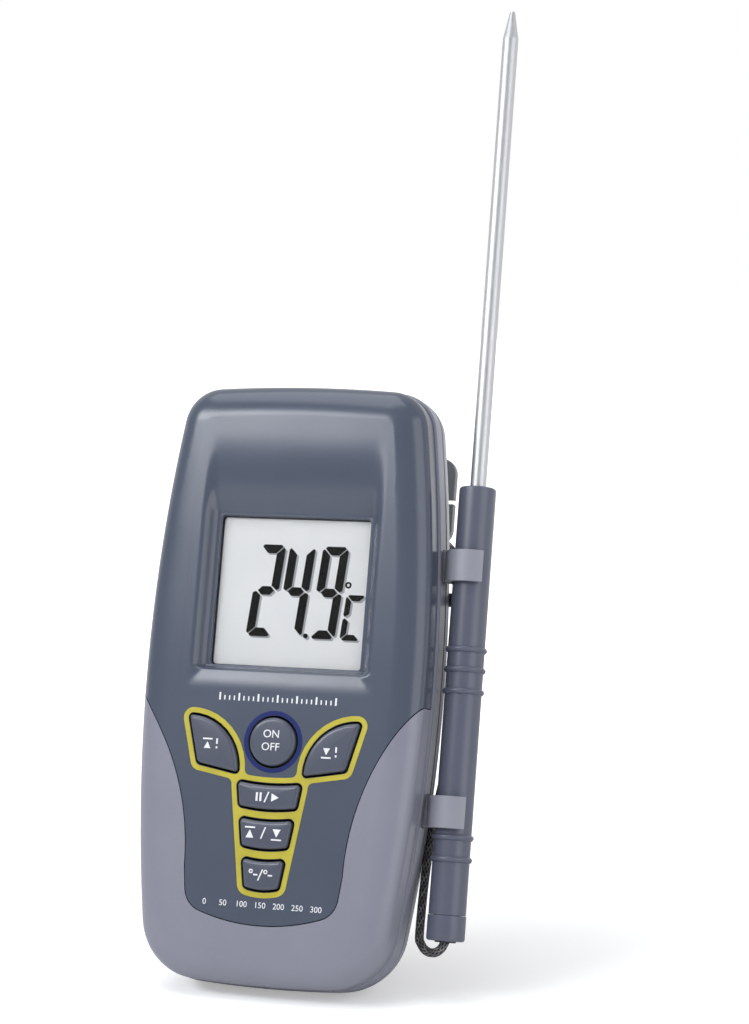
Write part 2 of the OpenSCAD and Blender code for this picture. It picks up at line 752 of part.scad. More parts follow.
// C-clip: open ring round the probe's axis, arm through the case's side and a foot inside it
module clip(y) {
    hook_x = half_width(y + clip_h / 2) - wall - 1.8 - hook_t;
    color(light_grey) translate([0, y, 0]) difference() {
        union() {
            translate([probe_x, clip_h, probe_z]) rotate([90, 0, 0])
                cylinder(r = clip_out_r, h = clip_h, $fn = 72);
            translate([hook_x, 0, split_z]) cube([probe_x - clip_in_r - 0.3 - hook_x, clip_h, arm_t]);
            translate([hook_x, -1.2, split_z - 1.1]) cube([hook_t, clip_h + 2.4, arm_t + 2.2]);
        }
        translate([probe_x, clip_h + 1, probe_z]) rotate([90, 0, 0]) {
            cylinder(r = clip_in_r, h = clip_h + 2, $fn = 72);
            linear_extrude(clip_h + 2) polygon([[0, 0], 12 * [cos(mouth_angle), -sin(mouth_angle)], [12, 0],
                12 * [cos(mouth_angle), sin(mouth_angle)]]);
        }
    }
}

module upper_clip() {
    clip(upper_clip_y);
}

module lower_clip() {
    clip(lower_clip_y);
}

module stand_leg() {
    foot_half = stand_half - 2;
    color(light_grey) translate([0, hinge_y, hinge_z]) rotate([stand_open, 0, 0]) difference() {
        union() {
            rotate([0, 90, 0]) translate([0, 0, -stand_half + ear_w])
                cylinder(r = knuckle_r, h = 2 * (stand_half - ear_w), $fn = 48);
            translate([0, 0, -stand_t / 2]) linear_extrude(stand_t)
                polygon([[-stand_half + ear_w, 0], [-stand_half + ear_w, -4], [-stand_half, -7],
                    [-foot_half, -leg_len], [foot_half, -leg_len], [stand_half, -7],
                    [stand_half - ear_w, -4], [stand_half - ear_w, 0]]);
            translate([0, -leg_len, 0]) rotate([0, 90, 0]) translate([0, 0, -foot_half])
                cylinder(r = stand_t / 2, h = 2 * foot_half, $fn = 48);
        }
        rotate([0, 90, 0]) translate([0, 0, -stand_half])
            cylinder(r = pin_r + pin_fit, h = 2 * stand_half, $fn = 48);
        translate([-relief_half, -leg_len + 8, -stand_t / 2 - 1]) cube([2 * relief_half, relief_len, 1.8]);
    }
}

module stand_pin() {
    color("silver") translate([-stand_half - 3, hinge_y, hinge_z]) rotate([0, 90, 0])
        cylinder(r = pin_r, h = 2 * stand_half + 6, $fn = 48);
}

// Bar with round ends, from z0 to z1, about the winder's middle
module round_bar(half, r, z0, z1) {
    translate([0, winder_y, z0]) {
        for (x = [-half, half]) translate([x, 0, 0]) cylinder(r = r, h = z1 - z0, $fn = 64);
        translate([-half, -r, 0]) cube([2 * half, 2 * r, z1 - z0]);
    }
}

module cord_winder() {
    corner = winder_corner_r;
    color("#45474d") difference() {
        union() {
            round_bar(core_half, core_r, -core_d, 0);
            translate([0, winder_y, -core_d - flange_t]) {
                translate([-flange_half, -flange_half_h + corner, 0])
                    cube([2 * flange_half, 2 * (flange_half_h - corner), flange_t]);
                translate([-flange_half + corner, -flange_half_h, 0])
                    cube([2 * (flange_half - corner), 2 * flange_half_h, flange_t]);
                for (x = [-1, 1], y = [-1, 1])
                    translate([x * (flange_half - corner), y * (flange_half_h - corner), 0])
                        cylinder(r = corner, h = flange_t, $fn = 48);
            }
        }
        for (x = [-1, 1])
            translate([x * flange_half - winder_slot_len, winder_y - winder_slot / 2, -core_d - flange_t - 1])
                cube([2 * winder_slot_len, winder_slot, flange_t + 2]);
        for (x = winder_bolts) translate([x, winder_y, -core_d - flange_t]) {
            translate([0, 0, -1]) cylinder(r = winder_head_r + 0.2, h = winder_head_h + 1.6, $fn = 32);
            cylinder(r = winder_thread_r + 0.35, h = core_d + flange_t + 1, $fn = 32);
        }
    }
}

module winder_screws() {
    color("silver") for (x = winder_bolts) translate([x, winder_y, -core_d - flange_t + 0.6]) {
        difference() {
            cylinder(r = winder_head_r, h = winder_head_h, $fn = 32);
            for (a = [0, 90]) rotate(a) translate([-1.2, -0.25, -1]) cube([2.4, 0.5, 1.6]);
        }
        translate([0, 0, winder_head_h - eps])
            cylinder(r = winder_thread_r, h = core_d + flange_t + 2.4, $fn = 32);
    }
}

module cord_gland() {
    color("#303238") translate([gland_x, gland_y, gland_z]) rotate([0, 90, 0]) difference() {
        union() {
            translate([0, 0, -wall]) cylinder(r = gland_r, h = wall + gland_out, $fn = 32);
            translate([0, 0, -wall - 0.9]) cylinder(r = gland_foot_r, h = 0.9, $fn = 32);
        }
        translate([0, 0, -wall - 2]) cylinder(r = cord_d / 2 - 0.3, h = wall + 2, $fn = 32);
    }
}

// Tube of radius r along a route, closed at both ends
module tube_along(route, r, sides) {
    n = len(route);
    function dir(i) = let (v = route[min(i + 1, n - 1)] - route[max(i - 1, 0)]) v / norm(v);
    rings = [for (i = [0 : n - 1])
        let (d = dir(i), u0 = cross(d, [0, 0.3, 1]), u = u0 / norm(u0), w = cross(d, u))
        [for (k = [0 : sides - 1]) route[i] + r * (cos(360 * k / sides) * u + sin(360 * k / sides) * w)]];
    walls = [for (i = [0 : n - 2], k = [0 : sides - 1])
        let (a = i * sides + k, b = i * sides + (k + 1) % sides) each [[a, b, b + sides], [a, b + sides, a + sides]]];
    polyhedron([for (q = rings) each q],
        concat(walls, [[for (k = [sides - 1 : -1 : 0]) k]], [[for (k = [0 : sides - 1]) (n - 1) * sides + k]]));
}

// Points of a smooth curve through the route, k steps between points
function smooth(route, k) = let (n = len(route)) concat([for (i = [0 : n - 2], j = [0 : k - 1])
    let (t = j / k, a = route[max(i - 1, 0)], b = route[i], c = route[i + 1], d = route[min(i + 2, n - 1)])
    0.5 * (2 * b + (c - a) * t + (2 * a - 5 * b + 4 * c - d) * t * t + (3 * b - a - 3 * c + d) * t * t * t)],
    [route[n - 1]]);

module cord_lead() {
    color("#3a3836") tube_along(smooth(lead_route, 2), cord_d / 2, 8);
}

module cord_tail() {
    color("#3a3836") tube_along(smooth(tail_route, 2), cord_d / 2, 8);
}

module cord_coil() {
    color("#3a3836") difference() {
        round_bar(core_half, coil_out_r, -core_d + 0.05, -0.05);
        round_bar(core_half, core_r + 0.05, -core_d - 1, 1);
    }
}

module on_probe() {
    translate([probe_x, probe_y, probe_z]) rotate([-90, 0, 0]) children();
}

module probe_shaft() {
    base = cap_len + handle_len;
    tip = base + shaft_len;
    color("silver") on_probe() rotate_extrude($fn = 64)
        polygon([[stub_r - tube_wall, base - stub_len], [stub_r, base - stub_len], [stub_r, base],
            [shaft_r, base], [shaft_r, tip - tip_len], [tip_r, tip], [0, tip], [0, tip - 1.6],
            [tube_in_r - 0.1, tip - tip_len], [tube_in_r, base + 1], [stub_r - tube_wall, base - 1]]);
}

module temperature_sensor() {
    color("#7a5a30") on_probe() translate([0, 0, cap_len + handle_len + shaft_len - tip_len - 3.5])
        cylinder(r = tube_in_r - 0.2, h = 3.5, $fn = 32);
}

module probe_handle() {
    top = cap_len + handle_len;
    color(dark_grey) on_probe() rotate_extrude($fn = 96)
        polygon(concat([[stub_r + 0.05, cap_len + 6], [stub_r + 0.05, cap_len - 2.5], [handle_r - 1, cap_len - 2.5],
            [handle_r - 1, cap_len + 0.1], [handle_r - 0.1, cap_len + 0.1], [handle_r, cap_len + 0.4]],
            [for (y = beads) each arc([handle_r - 0.15, y - probe_y], 0.15 + bead_proud, -60, 60, 6)],
            [[handle_r, top - 0.8], [handle_r - 0.25, top - 0.25], [handle_r - 0.8, top], [stub_r + 0.05, top]]));
}

module handle_cap() {
    cap_r = handle_r + 0.1;
    color(dark_grey) on_probe() rotate_extrude($fn = 96)
        polygon([[grommet_r + 0.05, 0], [cap_r - 0.4, 0], [cap_r, 0.4], [cap_r, cap_len - 0.1],
            [handle_r - 0.95, cap_len - 0.1], [handle_r - 0.95, cap_len - cap_seat],
            [grommet_r + 0.05, cap_len - cap_seat]]);
}

module cord_grommet() {
    color("#303238") on_probe() translate([0, 0, -0.3]) difference() {
        cylinder(r = grommet_r, h = cap_len - 2.4, $fn = 32);
        translate([0, 0, 1]) cylinder(r = cord_d / 2 - 0.2, h = cap_len, $fn = 32);
    }
}

standing() front_cover();
standing() front_housing();
standing() rear_shell();
standing() window_lens();
standing() lcd_glass();
standing() lcd_holder();
standing() zebra_strip();
standing() circuit_board();
standing() controller_chip();
standing() buzzer();
standing() keypad_mat();
standing() board_screws();
standing() key_trim();
standing() power_ring();
standing() power_key();
standing() high_alarm_key();
standing() low_alarm_key();
standing() hold_key();
standing() max_min_key();
standing() unit_key();
standing() battery();
standing() battery_spring();
standing() battery_plate();
standing() battery_door();
standing() case_screws();
standing() upper_clip();
standing() lower_clip();
standing() stand_leg();
standing() stand_pin();
standing() cord_winder();
standing() winder_screws();
standing() cord_gland();
standing() cord_lead();
standing() cord_coil();
standing() cord_tail();
standing() cord_grommet();
standing() probe_shaft();
standing() temperature_sensor();
standing() probe_handle();
standing() handle_cap();
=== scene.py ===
"""Dresses a handheld probe thermometer that leans back on its stand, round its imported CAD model."""

import json
from math import asin, atan2, cos, degrees, pi, radians, sin, sqrt

import bmesh
import bpy
from mathutils import Matrix, Vector


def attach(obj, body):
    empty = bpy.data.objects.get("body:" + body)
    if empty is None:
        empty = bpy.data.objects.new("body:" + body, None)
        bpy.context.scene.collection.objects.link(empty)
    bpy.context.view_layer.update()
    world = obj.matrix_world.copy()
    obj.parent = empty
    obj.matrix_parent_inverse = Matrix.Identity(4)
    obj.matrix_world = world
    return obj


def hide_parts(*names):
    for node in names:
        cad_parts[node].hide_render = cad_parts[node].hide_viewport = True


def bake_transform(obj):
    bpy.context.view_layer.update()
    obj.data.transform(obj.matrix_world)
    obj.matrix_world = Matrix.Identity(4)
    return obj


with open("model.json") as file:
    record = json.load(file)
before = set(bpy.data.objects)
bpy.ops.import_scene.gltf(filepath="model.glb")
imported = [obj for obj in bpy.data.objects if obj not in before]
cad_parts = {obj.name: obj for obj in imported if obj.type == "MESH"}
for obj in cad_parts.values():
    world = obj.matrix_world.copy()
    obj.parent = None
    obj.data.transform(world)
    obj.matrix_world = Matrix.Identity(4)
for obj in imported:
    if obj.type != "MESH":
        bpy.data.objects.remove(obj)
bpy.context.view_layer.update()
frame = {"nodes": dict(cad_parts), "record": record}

# The case's own axes: X to the right, Y up the face and Z out of it, in millimetres from the
# foot of its flat back. The winder's back pad gives their place and the angle of lean.
MM = 0.001
back_pad = next(m for m in frame["record"]["mounts"] if m["name"] == "back_pad")
pad_on_case = Vector((6, 101.4, -9.3))
lean = asin(-back_pad["axis"][2])
case_turn = Matrix.Rotation(pi / 2 - lean, 4, "X") @ Matrix.Scale(MM, 4)
case_to_world = Matrix.Translation(Vector(back_pad["pos_m"]) - case_turn @ pad_on_case) @ case_turn

# Camera: a long lens at the height of the display, to the right of the face and a little above
# it. It is moved sideways, so that the case stands left of the middle.
view_turn = radians(18.4966)
view_height = radians(5.419)
view_distance = 0.550
view_aim = case_to_world @ Vector((0, 93.2, 22))
view_slide = Vector((0.016587, 0.000725, 0))


def add_object(name, data):
    thing = bpy.data.objects.new(name, data)
    bpy.context.scene.collection.objects.link(thing)
    return thing


camera_turn = Matrix.Rotation(view_turn, 4, "Z") @ Matrix.Rotation(pi / 2 - view_height, 4, "X")
camera_data = bpy.data.cameras.new("camera")
camera_data.lens = 96.68
camera_data.sensor_width = 36
camera_data.clip_start = 0.01
camera = add_object("camera", camera_data)
camera.matrix_world = Matrix.Translation(view_aim) @ camera_turn @ Matrix.Translation(
    view_slide + Vector((0, 0, view_distance)))
bpy.context.scene.camera = camera
bpy.context.scene.view_settings.view_transform = "Standard"

# White room: the camera sees white. Reflections see a white backdrop behind the case and a dim
# room before it. The floor is white paper that keeps the shadow under the case.
room_light = 0.44
room_before = 0.30
backdrop_start, backdrop_full = -0.1, 0.35
paper_white = 0.84
glow_by_case, glow_start, glow_full = 0.36, 0.06, 0.38
mirrored_start, mirrored_full = 0.5, 1.0
floor_half = 4
white = (1, 1, 1, 1)


def add_node(tree, kind, inputs=None, **settings):
    """Adds a node, its inputs by value or by link. A kind given short is one of the tree's own."""
    node = tree.nodes.new(kind if "Node" in kind else tree.bl_idname.replace("Tree", kind))
    for name, value in settings.items():
        setattr(node, name, value)
    for name, value in (inputs or {}).items():
        if isinstance(value, bpy.types.NodeSocket):
            tree.links.new(value, node.inputs[name])
        else:
            node.inputs[name].default_value = value
    return node


def math_node(tree, operation, *values):
    return add_node(tree, "ShaderNodeMath", dict(enumerate(values)), operation=operation).outputs[0]


def place_in(tree, kind="Object"):
    return add_node(tree, "TexCoord").outputs[kind]


def ranged(tree, value, start, stop, low=0.0, high=1.0, **settings):
    """Carries a value over from one range to another."""
    return add_node(tree, "MapRange", {"Value": value, "From Min": start, "From Max": stop,
                                       "To Min": low, "To Max": high}, **settings).outputs[0]


def new_object(name, points, faces):
    mesh = bpy.data.meshes.new(name)
    mesh.from_pydata([tuple(p) for p in points], [], faces)
    return add_object(name, mesh)


world = bpy.data.worlds.new("room")
world.use_nodes = True
bpy.context.scene.world = world
room = world.node_tree
room.nodes.clear()
path = add_node(room, "LightPath").outputs
towards = add_node(room, "SeparateXYZ", {0: place_in(room, "Generated")}).outputs
backdrop = ranged(room, towards["Y"], backdrop_start, backdrop_full, room_before,
                  interpolation_type="SMOOTHSTEP")
lift = math_node(room, "SUBTRACT", backdrop, room_light)
unseen = math_node(room, "MULTIPLY_ADD", path["Is Glossy Ray"], lift, room_light)
seen = math_node(room, "MAXIMUM", path["Is Camera Ray"], path["Is Transmission Ray"])
strength = math_node(room, "MULTIPLY_ADD", seen, math_node(room, "SUBTRACT", 1.0, unseen), unseen)
shown = add_node(room, "Background", {"Color": white, "Strength": strength})
add_node(room, "OutputWorld", {"Surface": shown.outputs[0]})

paper = bpy.data.materials.new("white_paper")
paper.use_nodes = True
tree = paper.node_tree
tree.nodes.clear()
path = add_node(tree, "LightPath").outputs
from_case = add_node(tree, "VectorMath", {0: place_in(tree)}, operation="LENGTH").outputs["Value"]
mirrored_glow = math_node(tree, "MULTIPLY", path["Is Glossy Ray"],
                          ranged(tree, from_case, mirrored_start, mirrored_full))
seen = math_node(tree, "MAXIMUM", path["Is Camera Ray"], mirrored_glow)
by_distance = ranged(tree, from_case, glow_start, glow_full, glow_by_case)
matt = add_node(tree, "BsdfDiffuse", {"Color": (paper_white, paper_white, paper_white, 1)})
glow = add_node(tree, "Emission", {
    "Color": white, "Strength": math_node(tree, "MULTIPLY", seen, by_distance)})
both = add_node(tree, "AddShader", {0: matt.outputs[0], 1: glow.outputs[0]})
add_node(tree, "OutputMaterial", {"Surface": both.outputs[0]})

corners = [(x * floor_half, y * floor_half, 0) for x, y in ((-1, -1), (1, -1), (1, 1), (-1, 1))]
floor = new_object("floor", corners, [(0, 1, 2, 3)])
floor.data.materials.append(paper)

# Soft boxes: one before the case and to its left, a broad one overhead, a weak one on the right.
# All three give a slightly cool white.
lamp_white = (0.94, 0.965, 1.0)


def soft_box(name, aim, turn, height, distance, size, power):
    """A lamp aimed over the case's foot, at that turn from straight before it and that height."""
    data = bpy.data.lights.new(name, "AREA")
    data.shape = "RECTANGLE"
    data.size, data.size_y = size
    data.energy = power
    data.color = lamp_white
    turn, height = radians(turn), radians(height)
    away = Vector((sin(turn) * cos(height), -cos(turn) * cos(height), sin(height)))
    lamp = add_object(name, data)
    lamp.location = Vector((0, 0, aim)) + away * distance
    lamp.rotation_euler = away.to_track_quat("Z", "Y").to_euler()


soft_box("front_lamp", aim=0.11, turn=-40, height=28, distance=0.70, size=(0.50, 0.16), power=2.9)
soft_box("top_lamp", aim=0.08, turn=-55, height=75, distance=0.65, size=(0.50, 0.45), power=1.8)
soft_box("side_lamp", aim=0.08, turn=66, height=16, distance=0.70, size=(0.50, 0.70), power=2.2)

# Cord: a thin braided sleeve, dark with pale flecks, about 0.9 m long. It leaves the gland in the
# case's side, is wound flat on the winder and comes down to the bottom of the probe's handle.
cord_d = 1.8
core_half = 16
core_r = 3.2
winder_y = 101.4
turn_pitch = 1.85
coil_rows = 4
gland_end = (30.02, 79.4, 5.5)
lead_route = [gland_end, (31.2, 79.4, 5.35), (32.6, 79.5, 4.6), (33.6, 79.8, 3.3),
              (33.9, 80.6, 1.7), (33.5, 82, 0.2), (32.2, 84, -0.8), (29.8, 87.2, -1.1),
              (26.3, 91, -1.1), (22.6, 93.9, -1.05), (19.4, 95.2, -1)]
loop_r = 3.5
loop_end = Vector((35.1, 11.6, 11))
loop_way = Vector((-6.4, 0, -2.9)).normalized()
loop_tilt = 18


def loop_offset(angle):
    return loop_r * (cos(radians(angle)) * loop_way + Vector((0, sin(radians(angle)), 0)))


loop_centre = loop_end + loop_offset(loop_tilt)
tail_route = [(22.05, 98.6, -6.5), (22.9, 94.4, -6.5), (24.8, 90, -6.4), (27.2, 85, -5.7),
              (29.2, 79, -4.4), (30.6, 70, -3), (30.8, 60, -1.4), (30.4, 51, 0.8), (29.9, 43, 3.2),
              (29.4, 36, 5.2), (29.1, 30, 6.4), (28.9, 24, 7.2), (28.9, 18.5, 7.9)]
tail_route += [loop_centre - loop_offset(a) for a in (172, 150, 124, 98, 72, 45, loop_tilt)]


def smooth_route(points, steps):
    """A curve through the points, with that many steps between two of them."""
    points = [Vector(p) for p in points]
    last = len(points) - 1
    curve = []
    for i in range(last):
        a, b, c, d = (points[max(0, min(last, i + k))] for k in (-1, 0, 1, 2))
        for j in range(steps):
            t = j / steps
            curve.append(0.5 * (2 * b + (c - a) * t + (2 * a - 5 * b + 4 * c - d) * t * t
                                + (3 * b - a - 3 * c + d) * t ** 3))
    return curve + [points[last]]


def winding_point(turn, r):
    """Place on the winding's flat loop, from the end of its lower run, a whole turn being 1."""
    run, bend = 2 * core_half, pi * r
    s = turn * 2 * (run + bend)
    if s < run:
        return core_half - s, winder_y - r
    if s < run + bend:
        a = -pi / 2 - (s - run) / r
        return -core_half + r * cos(a), winder_y + r * sin(a)
    if s < 2 * run + bend:
        return -core_half + s - run - bend, winder_y + r
    a = pi / 2 - (s - 2 * run - bend) / r
    return core_half + r * cos(a), winder_y + r * sin(a)


coil_gap = 0.05
inner_r = core_r + turn_pitch / 2
outer_r = inner_r + turn_pitch
turns = []
for row in range(coil_rows):
    z = -coil_gap - turn_pitch * (row + 0.5)
    turns += [(outer_r, z), (inner_r, z)] if row % 2 == 0 else [(inner_r, z), (outer_r, z)]
steps_a_turn = 80
last_turn = 0.93
shift_start, shift_length = 0.51, 0.33
winding = []
for turn, (r, z) in enumerate(turns):
    next_r, next_z = turns[min(turn + 1, len(turns) - 1)]
    stop = steps_a_turn if turn < len(turns) - 1 else int(steps_a_turn * last_turn)
    for step in range(stop):
        t = step / steps_a_turn
        ease = min(1, max(0, (t - shift_start) / shift_length))
        ease = ease * ease * (3 - 2 * ease)
        x, y = winding_point(t, r + (next_r - r) * ease)
        winding.append(Vector((x, y, z + (next_z - z) * ease)))
cord_route = smooth_route(lead_route, 4) + winding + smooth_route(tail_route, 5)


def tube_rings(route, radius, sides):
    """Rings of points round a route, carried along it without twisting."""
    rings = []
    side = None
    angles = [2 * pi * k / sides for k in range(sides)]
    for i, point in enumerate(route):
        ahead = (route[min(i + 1, len(route) - 1)] - route[max(i - 1, 0)]).normalized()
        side = ahead.orthogonal() if side is None else side - ahead * side.dot(ahead)
        side.normalize()
        other = ahead.cross(side)
        rings.append([point + radius * (cos(a) * side + sin(a) * other) for a in angles])
    return rings


def new_solid(name, points, faces):
    """A closed shape, with its faces turned outwards."""
    piece = new_object(name, points, faces)
    shape = bmesh.new()
    shape.from_mesh(piece.data)
    bmesh.ops.recalc_face_normals(shape, faces=shape.faces)
    shape.to_mesh(piece.data)
    shape.free()
    return piece


def loft_faces(sides, count, first=0, closed=False):
    """Faces through rings of points, with two end faces unless the last ring meets the first."""
    rings = [[first + i * sides + k for k in range(sides)] for i in range(count)]
    faces = [(one[k], one[(k + 1) % sides], other[(k + 1) % sides], other[k])
             for one, other in zip(rings, rings[1:] + rings[:closed]) for k in range(sides)]
    return faces if closed else faces + [rings[0][::-1], rings[-1]]


def lofted(name, rings, closed=False):
    """A solid through rings of as many points each."""
    faces = loft_faces(len(rings[0]), len(rings), closed=closed)
    return new_solid(name, [p for ring in rings for p in ring], faces)


def baked(piece):
    """Applies a piece's modifiers to its mesh."""
    bpy.context.view_layer.update()
    graph = bpy.context.evaluated_depsgraph_get()
    mesh = bpy.data.meshes.new_from_object(piece.evaluated_get(graph))
    piece.modifiers.clear()
    piece.data = mesh
    return piece


def put_in_place(piece, material, body, *nodes, crease=32, edge=0):
    """Gives a piece its edge rounding, shading, finish and place, and the body it moves with."""
    if edge:
        rounding = piece.modifiers.new("edges", "BEVEL")
        rounding.width = edge
        rounding.segments = 3
        rounding.limit_method = "ANGLE"
        rounding.angle_limit = radians(40)
        baked(piece)
    piece.data.shade_smooth()
    piece.data.set_sharp_from_angle(angle=radians(crease))
    piece.data.transform(case_to_world)
    piece.data.materials.clear()
    piece.data.materials.append(material)
    weighted = piece.modifiers.new("shading", "WEIGHTED_NORMAL")
    weighted.keep_sharp = True
    if body:
        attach(piece, body)
    if nodes:
        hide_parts(*nodes)
    return piece


def noise(tree, size, detail=2.0, place=None):
    """Noise with features of that size in millimetres."""
    return add_node(tree, "TexNoise", {"Vector": place or place_in(tree), "Scale": 1 / (size * MM),
                                       "Detail": detail}).outputs[0]


def spread(tree, value, low=0.0, high=1.0):
    """Stretches the middle of a noise over a range."""
    return ranged(tree, value, 0.3, 0.7, low, high)


def blend_colours(tree, factor, *colours):
    one, other = (colour if isinstance(colour, bpy.types.NodeSocket) else (*colour, 1)
                  for colour in colours)
    return add_node(tree, "Mix", {"Factor": factor, 6: one, 7: other}, data_type="RGBA").outputs[2]


def new_material(name, **constants):
    material = bpy.data.materials.new(name)
    material.use_nodes = True
    shader = material.node_tree.nodes["Principled BSDF"]
    for socket, value in constants.items():
        shader.inputs[socket.replace("_", " ")].default_value = value
    return material, material.node_tree, shader


def give_finish(shader, relief=None, depth=0, **patterns):
    """Links patterns to a shader, and a relief of that depth in millimetres."""
    tree = shader.id_data
    if relief is not None:
        bump = add_node(tree, "Bump", {"Height": relief, "Distance": depth * MM})
        patterns["Normal"] = bump.outputs[0]
    for socket, pattern in patterns.items():
        tree.links.new(pattern, shader.inputs[socket.replace("_", " ")])


cord_sides = 12
cord = lofted("probe_cord", tube_rings(cord_route, cord_d / 2, cord_sides))
along = [0]
for here, ahead in zip(cord_route, cord_route[1:]):
    along.append(along[-1] + (ahead - here).length)
sleeve_map = cord.data.uv_layers.new(name="sleeve")
for face in cord.data.polygons:
    if len(face.vertices) > 4:
        continue
    wraps = {v % cord_sides for v in face.vertices} == {0, cord_sides - 1}
    for loop in face.loop_indices:
        ring, k = divmod(cord.data.loops[loop].vertex_index, cord_sides)
        sleeve_map.data[loop].uv = (along[ring], (k or (cord_sides if wraps else 0)) / cord_sides)


def strand_wave(tree, operation, around, forward):
    """Rises and falls once for each whole turn of two patterns, taken together."""
    turns = math_node(tree, operation, around, forward)
    return math_node(tree, "SINE", math_node(tree, "MULTIPLY", turns, 2 * pi))


strands = 8
lay_length = 1.5
pale_from, top_from = 0.2, 0.72
sleeve, tree, shader = new_material("braided_sleeve", Roughness=0.62)
uv = add_node(tree, "SeparateXYZ", {0: add_node(tree, "UVMap", uv_map="sleeve").outputs[0]}).outputs
around = math_node(tree, "MULTIPLY", uv[1], strands)
forward = math_node(tree, "DIVIDE", uv[0], lay_length)
weave = math_node(tree, "MAXIMUM", strand_wave(tree, "ADD", around, forward),
                  strand_wave(tree, "SUBTRACT", around, forward))
pale_strand = strand_wave(tree, "SUBTRACT", math_node(tree, "MULTIPLY", around, 0.25),
                          math_node(tree, "MULTIPLY", forward, 0.5))
fleck = math_node(tree, "MULTIPLY", math_node(tree, "GREATER_THAN", pale_strand, pale_from),
                  math_node(tree, "GREATER_THAN", weave, top_from))
fleck = math_node(tree, "MULTIPLY", fleck, spread(tree, noise(tree, 1.1), 0.2))
# The sleeve's colour runs from near black in the grooves between strands to grey on their crowns:
# painted shade. The pale flecks are pale strands where they lie on top.
dark = blend_colours(tree, spread(tree, weave), (0.016, 0.016, 0.021), (0.125, 0.120, 0.128))
give_finish(shader, weave, 0.10, Base_Color=blend_colours(tree, fleck, dark, (0.34, 0.31, 0.29)))
put_in_place(cord, sleeve, None, "cord_lead", "cord_coil", "cord_tail")
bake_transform(cord)

# Front cover: the dark half of the two-tone moulding, with the display's bay and the keys'
# openings. Matt, finely eroded hard plastic, screwed to the circuit board from inside.
half_w = 29.7
case_h = 120
case_d = 22
wall = 2
split_z = 10
band_z = 14
crown_w = 6.5
crown_drop = 4
side_centre, side_r = (half_w - 343, 62), 343
top_centre, top_r = (0, case_h - 300), 300
bottom_centre, bottom_r = (0, 230), 230
top_corner_r = 8
bottom_corner_r = 12.5


def arc(centre, r, start, stop, steps):
    """Points of an arc, its angles in degrees."""
    angles = [radians(start + (stop - start) * i / steps) for i in range(steps + 1)]
    return [(centre[0] + r * cos(a), centre[1] + r * sin(a)) for a in angles]


def meeting(one, one_r, other, other_r):
    """Where two circles meet, on the side of larger x."""
    line = Vector(other) - Vector(one)
    k = (line.length_squared + one_r ** 2 - other_r ** 2) / (2 * line.length)
    u = line.normalized()
    side = Vector((u.y, -u.x)) * (1 if u.y > 0 else -1)
    return Vector(one) + u * k + side * sqrt(one_r ** 2 - k * k)


def angle_from(centre, point):
    return degrees(atan2(point[1] - centre[1], point[0] - centre[0]))


def mirrored(outline):
    return [(-x, y) for x, y in reversed(outline)]


def case_outline(inset):
    """The case's outline, moved in by that much, anticlockwise."""
    upper = meeting(side_centre, side_r - top_corner_r, top_centre, top_r - top_corner_r)
    lower = meeting(side_centre, side_r - bottom_corner_r,
                    bottom_centre, bottom_r - bottom_corner_r)
    side_low, side_high = angle_from(side_centre, lower), angle_from(side_centre, upper)
    low, high = angle_from(bottom_centre, lower), angle_from(top_centre, upper)
    right = (arc(bottom_centre, bottom_r - inset, -89.6, low, 14)
             + arc(lower, bottom_corner_r - inset, low, side_low, 16)[1:]
             + arc(side_centre, side_r - inset, side_low, side_high, 60)[1:]
             + arc(upper, top_corner_r - inset, side_high, high, 14)[1:]
             + arc(top_centre, top_r - inset, high, 89.7, 16)[1:])
    return right + mirrored(right)


def at_height(outline, z):
    return [(x, y, z) for x, y in outline]


def case_loft(name, insets):
    """A solid with the case's outline, moved in by each inset at its height."""
    return lofted(name, [at_height(case_outline(inset), z) for inset, z in insets])


def prism(name, outline, low, high):
    return lofted(name, [at_height(outline, low), at_height(outline, high)])


def box_between(name, low, high):
    corners = [(low[0], low[1]), (high[0], low[1]), (high[0], high[1]), (low[0], high[1])]
    return prism(name, corners, low[2], high[2])


def box_across(name, half, low, high):
    """A box as wide to the left as to the right, from its lowest (y, z) to its highest."""
    return box_between(name, (-half, *low), (half, *high))


def carve(piece, *others, operation="DIFFERENCE"):
    """Cuts other solids from a piece, or adds them or keeps what is in them, and deletes them."""
    for other in others:
        cut = piece.modifiers.new("cut", "BOOLEAN")
        cut.operation = operation
        cut.solver = "EXACT"
        cut.object = other
        baked(piece)
        bpy.data.objects.remove(other)
    return piece


def rounding(width, drop, top, angles):
    """Insets and heights of a rounded upper edge, at angles from its foot."""
    return [(width * (1 - cos(radians(a))), top - drop * (1 - sin(radians(a)))) for a in angles]


crown_steps = 14
dome = case_loft("dome", [(0, band_z)] + rounding(
    crown_w, crown_drop, case_d, [90 * i / crown_steps for i in range(crown_steps + 1)]))
carve(dome, case_loft("dome_inside", ((wall, band_z - 1), (wall, 17.6), (3.2, 19.2), (5.2, 20))))

tongue_half = 16.7
tongue_foot, tongue_foot_r = 11.7, 40
tongue_corner_x, tongue_corner_r = 11.2, 5
waist_y = 22.5
flare_r = 50.7
beyond = 9


def tongue_outline(growth):
    """The dark tongue between the aprons and everything above it."""
    foot = (0, tongue_foot + tongue_foot_r)
    reach = tongue_foot_r - tongue_corner_r
    corner = (tongue_corner_x, foot[1] - sqrt(reach ** 2 - tongue_corner_x ** 2))
    low = angle_from(foot, corner)
    right = (arc(foot, tongue_foot_r + growth, -89.5, low, 12)
             + arc(corner, tongue_corner_r + growth, low + 3, -4, 16)
             + arc((tongue_half + flare_r, waist_y), flare_r - growth, 180, 133, 44))
    top = [(half_w + beyond, case_h + beyond), (-half_w - beyond, case_h + beyond)]
    return right + top + mirrored(right)


seam = 0.2
cover = carve(add_object("cover", dome.data.copy()), prism("tongue", tongue_outline(-seam), -2, 30),
              operation="INTERSECT")

